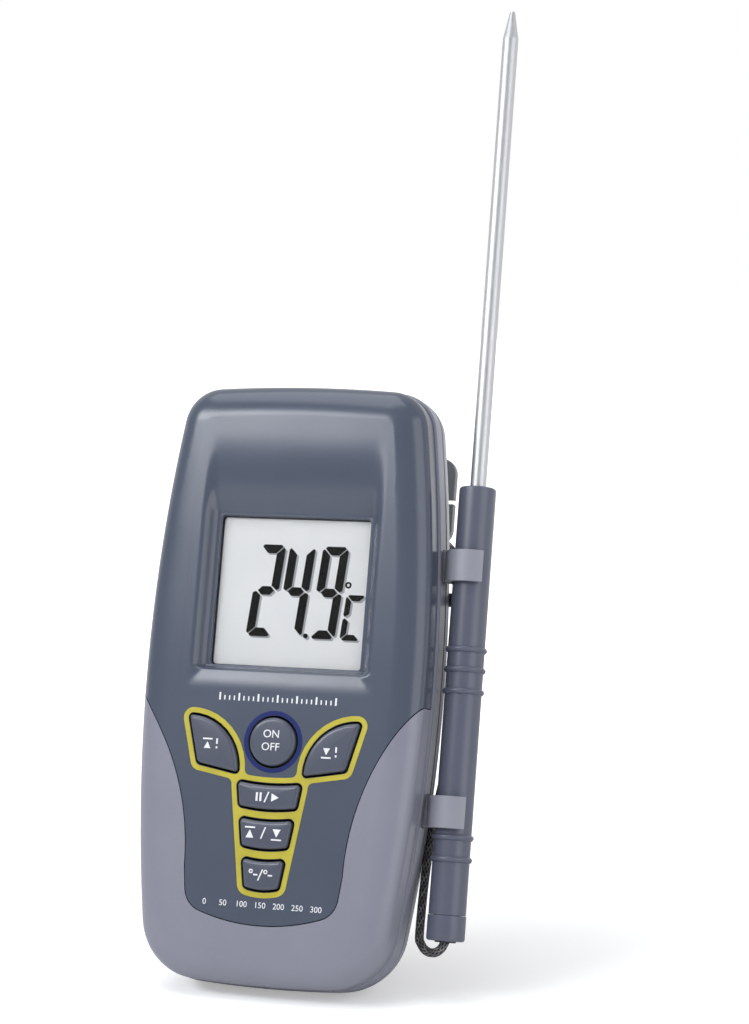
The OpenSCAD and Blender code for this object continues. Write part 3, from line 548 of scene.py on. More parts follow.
# Bay: a ramp runs down from the brow to the window, its side walls lean and a sill closes it
# below. Its floor is opened for the window, which has its seat behind.
window_w = 31.9
window_low, window_high = 63, 93.2
window_corner_r = 0.8
bay_depth = 2.6
bay_foot, sill_top = 58.9, 62.0
sill_depth, sill_flare = 0.36, 0.5
ramp_foot, ramp_top = 94.0, 111.0
ramp_curve = 2.6
bay_side_in, bay_side_out = 16.75, 18.55
bay_skin = 0.015


def eased_min(a, b, width):
    h = max(0, width - abs(a - b)) / width
    return min(a, b) - h * h * width / 4


def eased_part(value, foot, top):
    """Rises from 0 to 1 as the value goes through its range, with soft ends."""
    return -eased_min(-eased_min((value - foot) / (top - foot), 1, 0.3), 0, 0.4)


def bay_depth_at(x, y):
    flare = sill_flare * max(0, sill_top - y)
    side = eased_part(bay_side_out + flare - abs(x), 0, bay_side_out - bay_side_in)
    sill = sill_depth * eased_part(y, bay_foot, sill_top)
    floor_part = eased_part(y, sill_top - 0.1, window_low - 0.4)
    low = sill + (bay_depth - sill_depth) * floor_part
    up_ramp = min(1, max(0, (y - ramp_foot) / (ramp_top - ramp_foot)))
    return side * low * (1 - up_ramp) ** ramp_curve


columns, rows = 124, 170
bay_left, bay_low, bay_right, bay_high = -21.2, 57.4, 21.2, 112.2
bay_points = []
for j in range(rows + 1):
    y = bay_low + (bay_high - bay_low) * j / rows
    for i in range(columns + 1):
        x = bay_left + (bay_right - bay_left) * i / columns
        bay_points.append((x, y, case_d - bay_skin - bay_depth_at(x, y)))
step_up = columns + 1
bay_faces = [(v, v + 1, v + step_up + 1, v + step_up)
             for j in range(rows) for v in range(j * step_up, j * step_up + columns)]
rim = [*range(columns), *range(columns, rows * step_up, step_up),
       *range(rows * step_up + columns, rows * step_up, -1), *range(rows * step_up, 0, -step_up)]
lid = len(bay_points)
bay_points += [(bay_points[v][0], bay_points[v][1], case_d + 1) for v in rim]
bay_faces += [(rim[k], rim[(k + 1) % len(rim)], lid + (k + 1) % len(rim), lid + k)
              for k in range(len(rim))]
bay_faces.append(tuple(range(lid, lid + len(rim))))
bay = new_solid("bay", bay_points, bay_faces)


def rounded_box(low, high, r, steps=6):
    """Outline of a rectangle with rounded corners."""
    (x0, y0), (x1, y1) = low, high
    return (arc((x1 - r, y0 + r), r, -90, 0, steps) + arc((x1 - r, y1 - r), r, 0, 90, steps)
            + arc((x0 + r, y1 - r), r, 90, 180, steps) + arc((x0 + r, y0 + r), r, 180, 270, steps))


def opening(name, outline_at, low, top, edge):
    """Cutter for an opening whose upper edge is rounded."""
    steps = [(0, low)] + rounding(edge, edge, top, (0, 30, 60, 85)) + [(edge + 0.4, top + 0.4)]
    return lofted(name, [at_height(outline_at(growth), z) for growth, z in steps])


def window_outline(growth):
    return rounded_box((-window_w / 2 - growth, window_low - growth),
                       (window_w / 2 + growth, window_high + growth), window_corner_r + growth)


bay_floor = case_d - bay_depth
lens_top = 18.5
lens_half = window_w / 2 + 1.2
block_wall, block_drop, block_top = 2, 3.2, 20.6
seat_gap, seat_reach = 0.1, 1.3
window_edge = 0.35
well_inside = 10
bay_block = box_across("bay_block", lens_half + block_wall,
                       (window_low - block_drop, lens_top - 0.8), (ramp_top - 0.6, block_top))
carve(cover, bay_block, operation="UNION")
lens_seat = box_across("lens_seat", lens_half + seat_gap, (window_low - seat_reach, well_inside),
                       (window_high + seat_reach, lens_top))
carve(cover, bay, lens_seat, opening("window_opening", window_outline, well_inside,
                                     bay_floor - 0.02, window_edge))

# Keys' openings: a round one for power, two wings for the alarms and three rows below them. Each
# key's outline is a ring of points that is moved outwards for its gap.
key_gap = 0.4
key_hole_edge = 0.12
power_y, power_r = 47.9, 4.8
wing_r = 10.6
wing_tip, wing_low, wing_high = Vector((7, 41.5)), Vector((15.5, 43)), Vector((18, 52.4))
column_half, column_taper, column_y = 6.6, 0.151, 39.8
key_bow = 0.5
row_corner_r = 0.7
row_heights = {"hold_key": (35.05, 39.8), "max_min_key": (27.3, 32.7), "unit_key": (19.25, 24.85)}


def with_round_corners(corners, radii, steps=6):
    """Rounds the corners of a polygon; a radius of 0 keeps the point as it is."""
    points = []
    for i, (corner, r) in enumerate(zip(corners, radii)):
        if not r:
            points.append(tuple(corner))
            continue
        here = Vector(corner)
        back, ahead = Vector(corners[i - 1]) - here, Vector(corners[(i + 1) % len(corners)]) - here
        back.normalize()
        ahead.normalize()
        half = back.angle(ahead) / 2
        centre = here + (back + ahead).normalized() * (r / sin(half))
        reach = r / (sin(half) / cos(half))
        start, stop = (angle_from(centre, here + way * reach) for way in (back, ahead))
        while stop - start > 180:
            stop -= 360
        while stop - start < -180:
            stop += 360
        points += arc(centre, r, start, stop, steps)
    return points


def grown(outline, amount):
    """The outline moved outwards, point by point."""
    moved = []
    for i, point in enumerate(outline):
        here, back = Vector(point), Vector(outline[i - 1])
        ahead = Vector(outline[(i + 1) % len(outline)])
        one, other = (here - back).normalized(), (ahead - here).normalized()
        out = Vector((one.y + other.y, -one.x - other.x)).normalized()
        moved.append(tuple(here + out * amount / max(0.6, out.dot(Vector((one.y, -one.x))))))
    return moved


def wing_outline(side):
    chord = wing_high - wing_tip
    inward = Vector((-chord.y, chord.x)).normalized()
    centre = (wing_tip + wing_high) / 2 - inward * sqrt(wing_r ** 2 - chord.length_squared / 4)
    start, stop = angle_from(centre, wing_high), angle_from(centre, wing_tip)
    bow = arc(centre, wing_r, start, stop + (360 if stop < start else 0), 26)
    corners = [wing_low] + bow
    outline = with_round_corners(corners, [1.1, 0.5] + [0] * (len(bow) - 2) + [0.5])
    return outline if side > 0 else mirrored(outline)


def row_outline(low, high):
    half_low, half_high = (column_half - column_taper * (column_y - y) for y in (low, high))
    steps = [-1, *(i / 10 for i in range(-7, 8)), 1]
    corners = [(t * half_low, low - key_bow * (1 - t * t)) for t in steps]
    corners += [(-t * half_high, high - key_bow * (1 - t * t)) for t in steps]
    one_side = [row_corner_r] + [0] * (len(steps) - 2) + [row_corner_r]
    return with_round_corners(corners, one_side * 2)


key_outlines = {"power_key": arc((0, power_y), power_r, 0, 354, 59),
                "high_alarm_key": wing_outline(-1), "low_alarm_key": wing_outline(1)}
key_outlines.update({name: row_outline(*heights) for name, heights in row_heights.items()})
for name, outline in key_outlines.items():
    carve(cover, opening(name + "_opening", lambda growth: grown(outline, key_gap + growth),
                         well_inside, case_d, key_hole_edge))


cloud_detail, fleck_size, fleck_share, fleck_shade = 3, 2.2, 0.3, 1.08
gloss_patch, gloss_drift = 14, 0.015


def plastic(name, colour, roughness=0.42, grain=0.22, depth=0.006, cloud=9, uneven=0.025,
            **constants):
    """Moulded plastic: a fine eroded grain, faint clouds in the colour, a little uneven gloss."""
    material, tree, shader = new_material(name, **constants)
    darker, lighter, fleck = ([min(1, c * shade) for c in colour]
                              for shade in (1 - uneven, 1 + uneven, fleck_shade))
    clouds = spread(tree, noise(tree, cloud, cloud_detail))
    flecks = spread(tree, noise(tree, grain * fleck_size, 1))
    tint = blend_colours(tree, clouds, darker, lighter)
    tint = blend_colours(tree, math_node(tree, "MULTIPLY", flecks, fleck_share), tint, fleck)
    gloss = spread(tree, noise(tree, gloss_patch, 2), roughness - gloss_drift,
                   roughness + gloss_drift)
    give_finish(shader, noise(tree, grain, 2), depth, Base_Color=tint, Roughness=gloss)
    return material


dark_plastic = plastic("blue_grey_plastic", (0.066, 0.079, 0.112), roughness=0.22)
put_in_place(cover, dark_plastic, "case", "front_cover")

# Front housing: the light half, moulded in one with the band round the case. Its two aprons
# close round the tongue, and its inner lip seats in the rear shell.
band_proud = 0.5
seat_depth = 1.2
lower_clip_y, upper_clip_y, clip_h = 33.5, 82.2, 6.3
arm_t = 2.2
notch_gap = 0.2
housing = carve(dome, prism("tongue", tongue_outline(0), -2, 30))
band = case_loft("band", (
    (-band_proud + 0.25, split_z + 0.02), (-band_proud, split_z + 0.3),
    (-band_proud, band_z - 0.35), (-band_proud + 0.12, band_z - 0.1),
    (-band_proud + 0.4, band_z + 0.02), (0.3, band_z + 0.06)))
carve(band, prism("band_inside", case_outline(wall), split_z - 2, band_z + 2))
lip = carve(prism("lip", case_outline(wall - 0.05), split_z - seat_depth, band_z + 0.5),
            prism("lip_inside", case_outline(wall + seat_depth), split_z - 3, band_z + 2))
carve(housing, band, lip, operation="UNION")
for y in (lower_clip_y, upper_clip_y):
    carve(housing, box_between("notch", (half_w - 8, y - notch_gap, split_z - 2),
                               (half_w + 2, y + clip_h + notch_gap, split_z + arm_t + notch_gap)))
light_plastic = plastic("light_grey_plastic", (0.214, 0.217, 0.269), roughness=0.30)
put_in_place(housing, light_plastic, "case", "front_housing")

# Keys: hard caps on a rubber mat. Each has a rounded upper edge and a slightly crowned top,
# and stands a little proud of the cover.
key_top = 22.8
key_low = 17.7
key_edge = 0.65
key_crown = 0.06
key_plastic = plastic("key_grey_plastic", (0.074, 0.083, 0.116), roughness=0.25, grain=0.18)
for name, outline in key_outlines.items():
    middle = Vector((sum(x for x, y in outline), sum(y for x, y in outline))) / len(outline)
    rings = [at_height(outline, key_low), at_height(outline, key_top - key_edge)]
    rings += [at_height(grown(outline, -inset), z)
              for inset, z in rounding(key_edge, key_edge, key_top, (18, 36, 54, 72, 90))]
    shoulder = grown(outline, -key_edge)
    for scale in (0.94, 0.8, 0.6, 0.35, 0.1):
        rings.append([(middle.x + (x - middle.x) * scale, middle.y + (y - middle.y) * scale,
                       key_top + key_crown * (1 - scale ** 2)) for x, y in shoulder])
    put_in_place(lofted(name.replace("_key", "_cap"), rings), key_plastic, name, name)

# Printed outlines: a yellow line runs round the keys and a blue ring round the power key,
# both flush inlays with a satin surface.
yellow_print = plastic("yellow_inlay", (0.45, 0.385, 0.024), roughness=0.45, grain=0.15, cloud=5,
                       uneven=0.10)
blue_print = plastic("blue_inlay", (0.005, 0.014, 0.112), roughness=0.42, grain=0.15, cloud=4,
                     uneven=0.12, Specular_IOR_Level=0.25)
weld_within = 0.002
flat_within = radians(0.6)


def dressed(node, material, body="case", edge=0.15, cutter=None):
    """Carries a solid over: its copy is merged, its edges are broken and it gets its finish."""
    mesh = frame["nodes"][node].data.copy()
    mesh.transform(case_to_world.inverted())
    shape = bmesh.new()
    shape.from_mesh(mesh)
    bmesh.ops.remove_doubles(shape, verts=shape.verts, dist=weld_within)
    bmesh.ops.dissolve_limit(shape, angle_limit=flat_within, verts=shape.verts, edges=shape.edges)
    shape.to_mesh(mesh)
    shape.free()
    piece = add_object(node + "_finished", mesh)
    if cutter:
        carve(piece, cutter())
    return put_in_place(piece, material, body, node, edge=edge)


dressed("key_trim", yellow_print, edge=0.06)
dressed("power_ring", blue_print, edge=0.06)

# Window and display: a clear acrylic window glued in under the cover, and behind it the
# liquid-crystal glass with a dark ring round it, painted shade along the window's inner edge.
# Segments are black, with a faint painted shadow.
glass_top = 17.65
print_low, print_high, shadow_high = glass_top - 0.01, glass_top + 0.035, glass_top + 0.008


def clouded(name, one, other, cloud, grain, depth, **constants):
    """Material whose colour drifts between two, under a fine relief."""
    material, tree, shader = new_material(name, **constants)
    tint = blend_colours(tree, spread(tree, noise(tree, *cloud)), one, other)
    give_finish(shader, noise(tree, *grain), depth, Base_Color=tint)
    return material


clear_acrylic, tree, shader = new_material("clear_acrylic", Roughness=0.03, Transmission_Weight=1.0,
                                           IOR=1.22)
give_finish(shader, noise(tree, 14, 1), 0.01)
display_grey = clouded("display_grey", (0.92, 0.935, 0.945), (0.96, 0.97, 0.975), (6, 2), (0.5, 1),
                       0.004, Roughness=0.30)
gasket_black = plastic("gasket_black", (0.004, 0.004, 0.004), roughness=0.7,
                       Specular_IOR_Level=0.15)
dressed("window_lens", clear_acrylic, edge=0.1)
dressed("lcd_glass", display_grey, edge=0.1)


def plates(name, outlines, low, high):
    """Flat shapes side by side in one piece."""
    points, faces = [], []
    for outline in outlines:
        faces += loft_faces(len(outline), 2, first=len(points))
        points += at_height(outline, low) + at_height(outline, high)
    return new_solid(name, points, faces)


def frame_of(name, outer, inner, low, high):
    """A flat ring between two outlines of as many points."""
    return lofted(name, [at_height(outer, low), at_height(outer, high),
                         at_height(inner, high), at_height(inner, low)], closed=True)


# A dark ring just inside the window's edge: painted shade, seen as dark lines along the window's top
# and left.
painted_window_shade = plastic("painted_window_shade", (0.052, 0.057, 0.074), roughness=0.6)
put_in_place(frame_of("display_shade_ring", window_outline(0.9), window_outline(-0.2),
                      glass_top - 0.02, glass_top + 0.045), painted_window_shade, "case")

slant = 0.092
digit_half_w = 1.89
digit_stroke = 0.88
digit_heights = (86.9, 78.43, 70.0)


def segment_shapes(half, stroke, top, mid, low):
    """The seven strokes of an upright digit, named by place."""
    tip, cut = 0.32 * stroke / digit_stroke, 0.12
    side = half + tip + 0.18
    inside = half - stroke
    above = [(-half - tip, top + 0.5 * stroke), (-half + 0.02, top + stroke),
             (half - 0.02, top + stroke), (half + tip, top + 0.5 * stroke),
             (inside - cut, top - stroke), (cut - inside, top - stroke)]
    upper = [(side, top + 0.36 * stroke), (half + stroke, top), (half + stroke, mid + 0.5),
             (half + 0.25, mid + 0.12), (inside, mid + stroke + cut), (inside, top - stroke - cut)]
    centre = [(0.15 - half, mid), (0.1 - inside, mid + stroke), (inside - 0.1, mid + stroke),
              (half - 0.15, mid), (inside - 0.1, mid - stroke), (0.1 - inside, mid - stroke)]
    lower = [(half + stroke, mid - 0.5), (half + stroke, low), (side, low - 0.36 * stroke),
             (inside, low + stroke + cut), (inside, mid - stroke - cut), (half + 0.25, mid - 0.12)]
    return {"top": above, "right_high": upper, "left_high": mirrored(upper), "middle": centre,
            "right_low": lower, "left_low": mirrored(lower),
            "bottom": [(x, top + low - y) for x, y in reversed(above)]}


def leaning(outline, x):
    return [(x + px + slant * (py - digit_heights[1]), py) for px, py in outline]


digit_strokes = segment_shapes(digit_half_w, digit_stroke, *digit_heights)
shown = ((-5.72, "top right_high middle left_low bottom"),
         (0.675, "left_high right_high middle right_low"),
         (7.73, "top left_high right_high middle right_low bottom"))
reading = [leaning(digit_strokes[stroke], x) for x, strokes in shown for stroke in strokes.split()]
unit_strokes = segment_shapes(1.5, 0.6, 77.6, 73.65, 69.65)
reading += [leaning(unit_strokes[stroke], 13.62)
            for stroke in ("top", "left_high", "left_low", "bottom")]
reading.append(arc((3.47, 69.6), 0.5, 0, 345, 23))
put_in_place(plates("display_digits", reading, print_low, print_high), gasket_black, "case")
degree_at, degree_r, degree_hole_r = (11.70, 80.14), 0.68, 0.30
degree_rings = [arc(degree_at, r, 0, 348, 29) for r in (degree_r, degree_hole_r)]
put_in_place(frame_of("display_degree", *degree_rings, print_low, print_high), gasket_black, "case")
# Grey copies of the segments, moved down and to the right: the digits' painted shadow on the glass.
segment_shadow = plastic("segment_shadow", (0.40, 0.42, 0.44), roughness=0.5, depth=0.002)
shadow_shapes = [[(x + 0.42, y - 0.34) for x, y in outline] for outline in reading]
put_in_place(plates("display_shadow", shadow_shapes, print_low, shadow_high), segment_shadow,
             "case")

# Legends: white print on the keys and on the cover. The power key says ON and OFF, the others
# have plain signs, and the cover has two plain scales.
white_print = plastic("white_print", (0.74, 0.75, 0.78), roughness=0.5, grain=0.12, depth=0.004,
                      uneven=0.07)
legend_low, sign_low, print_top = 22.7, 22.6, 22.955
cover_print_top = case_d + 0.022
capital_share = 0.73


def lettering(name, lines, low, high, body):
    """Lines of print, each (text, middle, height), as flat plates."""
    merged = bmesh.new()
    for text, middle, size in lines:
        curve = bpy.data.curves.new(name, "FONT")
        curve.body = text
        curve.align_x = "CENTER"
        curve.size = size / capital_share
        curve.extrude = (high - low) / 2
        curve.resolution_u = 4
        writing = add_object(name + "_text", curve)
        bpy.context.view_layer.update()
        graph = bpy.context.evaluated_depsgraph_get()
        mesh = bpy.data.meshes.new_from_object(writing.evaluated_get(graph))
        mesh.transform(Matrix.Translation((middle[0], middle[1] - size / 2, (low + high) / 2)))
        merged.from_mesh(mesh)
        bpy.data.objects.remove(writing)
    bmesh.ops.remove_doubles(merged, verts=merged.verts, dist=0.0005)
    letters = new_object(name, [], [])
    merged.to_mesh(letters.data)
    merged.free()
    return put_in_place(letters, white_print, body)


def arrow(x, y, size, turn):
    """A three-cornered mark that points up, or is turned from there by an angle."""
    return [(x + size * sin(radians(turn + a)), y + size * cos(radians(turn + a)))
            for a in (0, -125, 125)]


def bar(x, y, w, h, lean_over=0):
    return [(x - w / 2 - lean_over, y - h / 2), (x + w / 2 - lean_over, y - h / 2),
            (x + w / 2 + lean_over, y + h / 2), (x - w / 2 + lean_over, y + h / 2)]


def small_ring(x, y):
    return arc((x, y), 0.44, 0, 350, 20) + arc((x, y), 0.2, 350, 0, 20)


lettering("power_legend", [("ON", (-0.15, 49.5), 1.6), ("OFF", (-0.15, 46.95), 1.6)],
          legend_low, print_top, "power_key")
signs = {
    "high_alarm_key": [arrow(-13.5, 46.35, 0.85, 0), bar(-13.5, 47.75, 2.0, 0.32),
                       bar(-11.5, 47.35, 0.34, 1.1), bar(-11.5, 46.1, 0.34, 0.4)],
    "low_alarm_key": [arrow(11.6, 46.75, 0.85, 180), bar(11.6, 45.35, 2.0, 0.32),
                      bar(13.6, 47.0, 0.34, 1.1), bar(13.6, 45.75, 0.34, 0.4)],
    "hold_key": [bar(-2.15, 36.95, 0.4, 1.7), bar(-1.35, 36.95, 0.4, 1.7),
                 bar(-0.1, 36.95, 0.28, 2.1, 0.4), arrow(1.5, 36.95, 0.98, 90)],
    "max_min_key": [arrow(-3.0, 29.4, 1.0, 0), bar(-3.0, 30.9, 2.1, 0.3),
                    bar(-0.2, 29.9, 0.28, 2.3, 0.42), arrow(2.6, 30.2, 1.0, 180),
                    bar(2.6, 28.7, 2.1, 0.3)],
    "unit_key": [small_ring(-2.1, 22.35), bar(-1.1, 21.7, 0.9, 0.32),
                 bar(-0.1, 21.7, 0.28, 2.2, 0.42), small_ring(0.95, 22.35),
                 bar(1.95, 21.7, 0.9, 0.32)],
}
for key, outlines in signs.items():
    sign = plates(key.replace("_key", "_sign"), outlines, sign_low, print_top)
    put_in_place(sign, white_print, key)
scale_numbers = [(str(50 * k), (-11.7 + 3.9 * k, 15.85), 1.2) for k in range(7)]
lettering("scale_numbers", scale_numbers, case_d - 0.1, cover_print_top, "case")


def repeating_tree(name, sizes, make_shape):
    """Node tree that sets a shape at each vertex of its piece, with the shape's sizes by name."""
    tree = bpy.data.node_groups.new(name, "GeometryNodeTree")
    for socket, way, kind in [("Places", "INPUT", "Geometry"), ("Shapes", "OUTPUT", "Geometry"),
                              *[(size, "INPUT", "Float") for size in sizes],
                              ("Finish", "INPUT", "Material")]:
        tree.interface.new_socket(socket, in_out=way, socket_type="NodeSocket" + kind)
    inputs = add_node(tree, "NodeGroupInput").outputs
    points = add_node(tree, "MeshToPoints", {"Mesh": inputs["Places"]}).outputs[0]
    shape = make_shape(tree, inputs)
    many = add_node(tree, "InstanceOnPoints", {"Points": points, "Instance": shape})
    real = add_node(tree, "RealizeInstances", {"Geometry": many.outputs[0]})
    done = add_node(tree, "SetMaterial", {"Geometry": real.outputs[0], "Material": inputs["Finish"]})
    add_node(tree, "NodeGroupOutput", {"Shapes": done.outputs[0]})
    return tree


def repeated(name, places, tree, sizes, material, body, *nodes, turn=Matrix.Identity(4)):
    """Runs a tree on the places, with its shapes turned, and puts the result in place."""
    piece = new_object(name, [turn.inverted() @ Vector(place) for place in places], [])
    maker = piece.modifiers.new("repeat", "NODES")
    maker.node_group = tree
    for item in tree.interface.items_tree:
        if item.name in sizes:
            maker[item.identifier] = float(sizes[item.name])
        elif item.name == "Finish":
            maker[item.identifier] = material
    baked(piece)
    piece.data.transform(turn)
    return put_in_place(piece, material, body, *nodes)


def raised(tree, solid, height, low):
    """Stands a centred solid of that height on a level."""
    middle = math_node(tree, "MULTIPLY_ADD", height, 0.5, low)
    shift = add_node(tree, "ShaderNodeCombineXYZ", {"Z": middle}).outputs[0]
    return add_node(tree, "Transform", {"Geometry": solid, "Translation": shift}).outputs[0]


def box_shape(tree, width, depth, height, low):
    size = add_node(tree, "ShaderNodeCombineXYZ", {"X": width, "Y": depth, "Z": height}).outputs[0]
    return raised(tree, add_node(tree, "MeshCube", {"Size": size}).outputs["Mesh"], height, low)


mark_sizes = ("Width", "Length", "Height")
marks = repeating_tree("scale_marks", mark_sizes, lambda tree, inputs: box_shape(
    tree, *[inputs[size] for size in mark_sizes], 0.0))
mark_start, mark_step, mark_count, mark_sink = -12, 1.02, 25, 0.08
for name, y, sizes, shown in (
        ("short_marks", 56.2, (0.26, 0.9, 0.1), [k for k in range(mark_count) if k % 4]),
        ("long_marks", 56.45, (0.36, 1.5, 0.1), range(0, mark_count, 4))):
    places = [(mark_start + mark_step * k, y, case_d - mark_sink) for k in shown]
    repeated(name, places, marks, dict(zip(mark_sizes, sizes)), white_print, "case")

# Rear shell: the light back half, moulded in the same plastic with a rounded edge all round. It
# has the stand's recess and hinge lugs, the battery's bay and sunk holes for four screws.
rear_w = 6
hinge_y = 63
stand_half, stand_t = 13, 2.4
ear_w = 3
recess_d = stand_t + 0.3
cell_y, cell_len, cell_r = 78.2, 44.5, 5.25
door_half_w, door_half_h = cell_len / 2 + 1.5, cell_r + 1.3
door_t = 1.5
case_screw_spots = [(-20, 14), (20, 14), (-22, 64), (22, 64)]
case_head_r = 2.2
boss_r = 3.4
cell_gap = 0.3
bay_wall_x, bay_wall_y = 1.6, 1.4
door_gap = 0.1
pit_depth = 4
upside_down = Matrix.Rotation(pi, 4, "X")
shell = case_loft("shell", [(inset - band_proud, z) for inset, z in rounding(
    rear_w, -split_z, 0, range(90, 3, -6))] + [
        (-band_proud, split_z - 0.4), (-band_proud + 0.22, split_z - 0.3),
        (-band_proud + 0.26, split_z - 0.02)])
hollow = case_loft("shell_hollow", (
    (rear_w + 0.1, wall), (wall, split_z * 0.5), (wall, split_z + 1)))
cell_low, cell_high = cell_y - door_half_h - bay_wall_y, cell_y + door_half_h + bay_wall_y
carve(hollow,
      box_across("recess_block", stand_half + 5, (-1, 0), (hinge_y + 4, recess_d + wall)),
      box_across("cell_block", door_half_w + bay_wall_x, (cell_low, 0),
                 (cell_high, wall + cell_r + cell_gap)),
      *[prism("boss", arc(spot, boss_r, 0, 350, 35), 0, split_z) for spot in case_screw_spots])
carve(shell, hollow)


def back_opening(name, outline, depth, edge=0.3):
    """Cutter for an opening in the back, whose edge is rounded."""
    flipped = [(x, -y) for x, y in reversed(outline)]
    cutter = opening(name, lambda growth: grown(flipped, growth), -depth, 0, edge)
    cutter.data.transform(upside_down)
    return cutter


lug_in = stand_half - ear_w + 0.25
lug_foot, lug_head = hinge_y - 2.4, hinge_y + 1.7
recess_half = stand_half + 0.5
recess = [(-recess_half, -4), (recess_half, -4), (recess_half, lug_foot), (lug_in, lug_foot),
          (lug_in, lug_head), (-lug_in, lug_head), (-lug_in, lug_foot), (-recess_half, lug_foot)]
recess = with_round_corners(recess, [0, 0, 0.8, 1.2, 0.8, 0.8, 1.2, 0.8], 4)
door_seat = rounded_box((-door_half_w, cell_y - door_half_h),
                        (door_half_w, cell_y + door_half_h), 0.4)
carve(shell,
      back_opening("stand_recess", recess, recess_d),
      back_opening("door_seat", door_seat, door_t + door_gap, 0.2),
      box_across("cell_bay", cell_len / 2 + 0.6, (cell_y - cell_r - cell_gap, 0.5),
                 (cell_y + cell_r + cell_gap, split_z)),
      *[back_opening("screw_pit", arc(spot, case_head_r + 0.2, 0, 352, 44), pit_depth, 0.25)
        for spot in case_screw_spots])
put_in_place(shell, light_plastic, "case", "rear_shell", crease=28)

# Probe: a steel tube with a pointed tip, a turned plastic handle with moulded rings, and a cap
# that holds the cord's rubber grommet. It slides in the two clips.
probe_x, probe_y, probe_z = 35.1, 11.7, 11
cap_len, handle_len, shaft_len = 5.1, 84.8, 99
handle_r = 3.7
bore_r, shaft_core_r = 1.25, 1.15
cap_r = handle_r + 0.1
cap_inner_r = handle_r - 0.95
shaft_r, tip_r, tip_len = 1.6, 0.55, 5.8
handle_low = probe_y + cap_len
handle_high = handle_low + handle_len
tip_high = handle_high + shaft_len
handle_plastic = plastic("handle_plastic", (0.089, 0.096, 0.134), roughness=0.33, grain=0.3,
                         cloud=12)


def turned(name, *spans, sides=72):
    """A profile spun round the probe's axis. Each span gives radii, and heights from its level."""
    angles = [2 * pi * k / sides for k in range(sides)]
    profile = [(r, level + rise) for level, points in spans for r, rise in points]
    return lofted(name, [[(probe_x + r * cos(a), y, probe_z + r * sin(a)) for a in angles]
                         for r, y in profile])


handle = turned(
    "handle",
    (handle_low, [(bore_r, 6), (bore_r, -2.5), (handle_r - 1, -2.5), (handle_r - 1, -0.05),
                  (handle_r - 0.1, -0.05), (handle_r - 0.03, 0), (handle_r, 0.1), (handle_r, 20),
                  (handle_r, 55)]),
    (handle_high, [(handle_r, -0.7), (handle_r - 0.1, -0.3), (handle_r - 0.36, -0.08),
                   (handle_r - 0.8, 0), (bore_r, 0)]))
put_in_place(handle, handle_plastic, "probe", "probe_handle")


def hoop_shape(tree, inputs):
    hoop = add_node(tree, "CurvePrimitiveCircle", {
        "Resolution": 72, "Radius": inputs["Hoop radius"]})
    section = add_node(tree, "CurvePrimitiveCircle", {
        "Resolution": 16, "Radius": inputs["Thickness"]})
    return add_node(tree, "CurveToMesh", {
        "Curve": hoop.outputs["Curve"], "Profile Curve": section.outputs["Curve"]}).outputs["Mesh"]


handle_rings = repeating_tree("handle_rings", ("Hoop radius", "Thickness"), hoop_shape)
ring_heights = (27.6, 31.9, 60.6, 64.9, 68.9)
repeated("rings_on_handle", [(probe_x, y, probe_z) for y in ring_heights], handle_rings,
         {"Hoop radius": handle_r - 0.18, "Thickness": 0.64}, handle_plastic, "probe",
         turn=Matrix.Rotation(pi / 2, 4, "X"))
cap = turned(
    "handle_end",
    (probe_y, [(2.15, 2.5), (2.15, 0.1), (2.3, 0), (cap_r - 0.5, 0), (cap_r - 0.15, 0.12),
               (cap_r, 0.45)]),
    (handle_low, [(cap_r, -0.26), (cap_r - 0.04, -0.14), (cap_r - 0.12, -0.1),
                  (cap_inner_r, -0.1)]),
    (probe_y, [(cap_inner_r, 2.5)]))
put_in_place(cap, handle_plastic, "probe", "handle_cap")


def along_case(tree, scale):
    """Places along the case's axes, for a pattern drawn out by that much along each."""
    return add_node(tree, "Mapping", {
        "Vector": place_in(tree), "Rotation": (pi / 2 - lean, 0, 0), "Scale": scale},
        vector_type="TEXTURE").outputs[0]


steel, tree, shader = new_material("drawn_steel", Roughness=0.48, Metallic=1.0)
streaks = noise(tree, 0.25, 3, along_case(tree, (1, 60, 1)))
tint = blend_colours(tree, spread(tree, streaks), (0.50, 0.50, 0.52), (0.57, 0.57, 0.58))
give_finish(shader, streaks, 0.004, Base_Color=tint,
            Roughness=spread(tree, noise(tree, 2.5, 2), 0.45, 0.51))
shaft = turned(
    "shaft",
    (handle_high, [(shaft_core_r, -24), (shaft_core_r, -0.3), (shaft_r, -0.3), (shaft_r, 40)]),
    (tip_high - tip_len, [(shaft_r, -0.05), (shaft_r - 0.04, 0.1)]),
    (tip_high, [(tip_r, -0.25), (tip_r - 0.12, -0.06), (tip_r - 0.3, 0)]))
put_in_place(shaft, steel, "probe", "probe_shaft", crease=8)

dark_rubber = plastic("dark_rubber", (0.030, 0.031, 0.036), roughness=0.62, grain=0.3, depth=0.02,
                      cloud=3)
dressed("cord_grommet", dark_rubber, "probe", edge=0.12)
dressed("cord_gland", dark_rubber, edge=0.12)
sensor_bead = plastic("sensor_bead", (0.22, 0.12, 0.06), roughness=0.3, grain=0.4)
dressed("temperature_sensor", sensor_bead, "probe")

# Clips, stand and winder: the clips and the stand are light mouldings, the hinge's pin is a steel
# rod, and the dark winder is screwed to the back.
clip_plastic = plastic("clip_plastic", (0.240, 0.243, 0.288), roughness=0.40)
winder_plastic = plastic("winder_plastic", (0.175, 0.179, 0.198), roughness=0.42)


def jaw_mouth():
    """Wedge that ends a clip's jaws, before and behind the handle."""
    wedge = [(probe_x + r * cos(radians(a)), probe_z + r * sin(radians(a)))
             for r, a in ((2, -66), (9, -66), (11, -14), (9, 50), (2, 50))]
    return lofted("jaw_mouth", [[(x, y, z) for x, z in wedge] for y in (30, 92)])


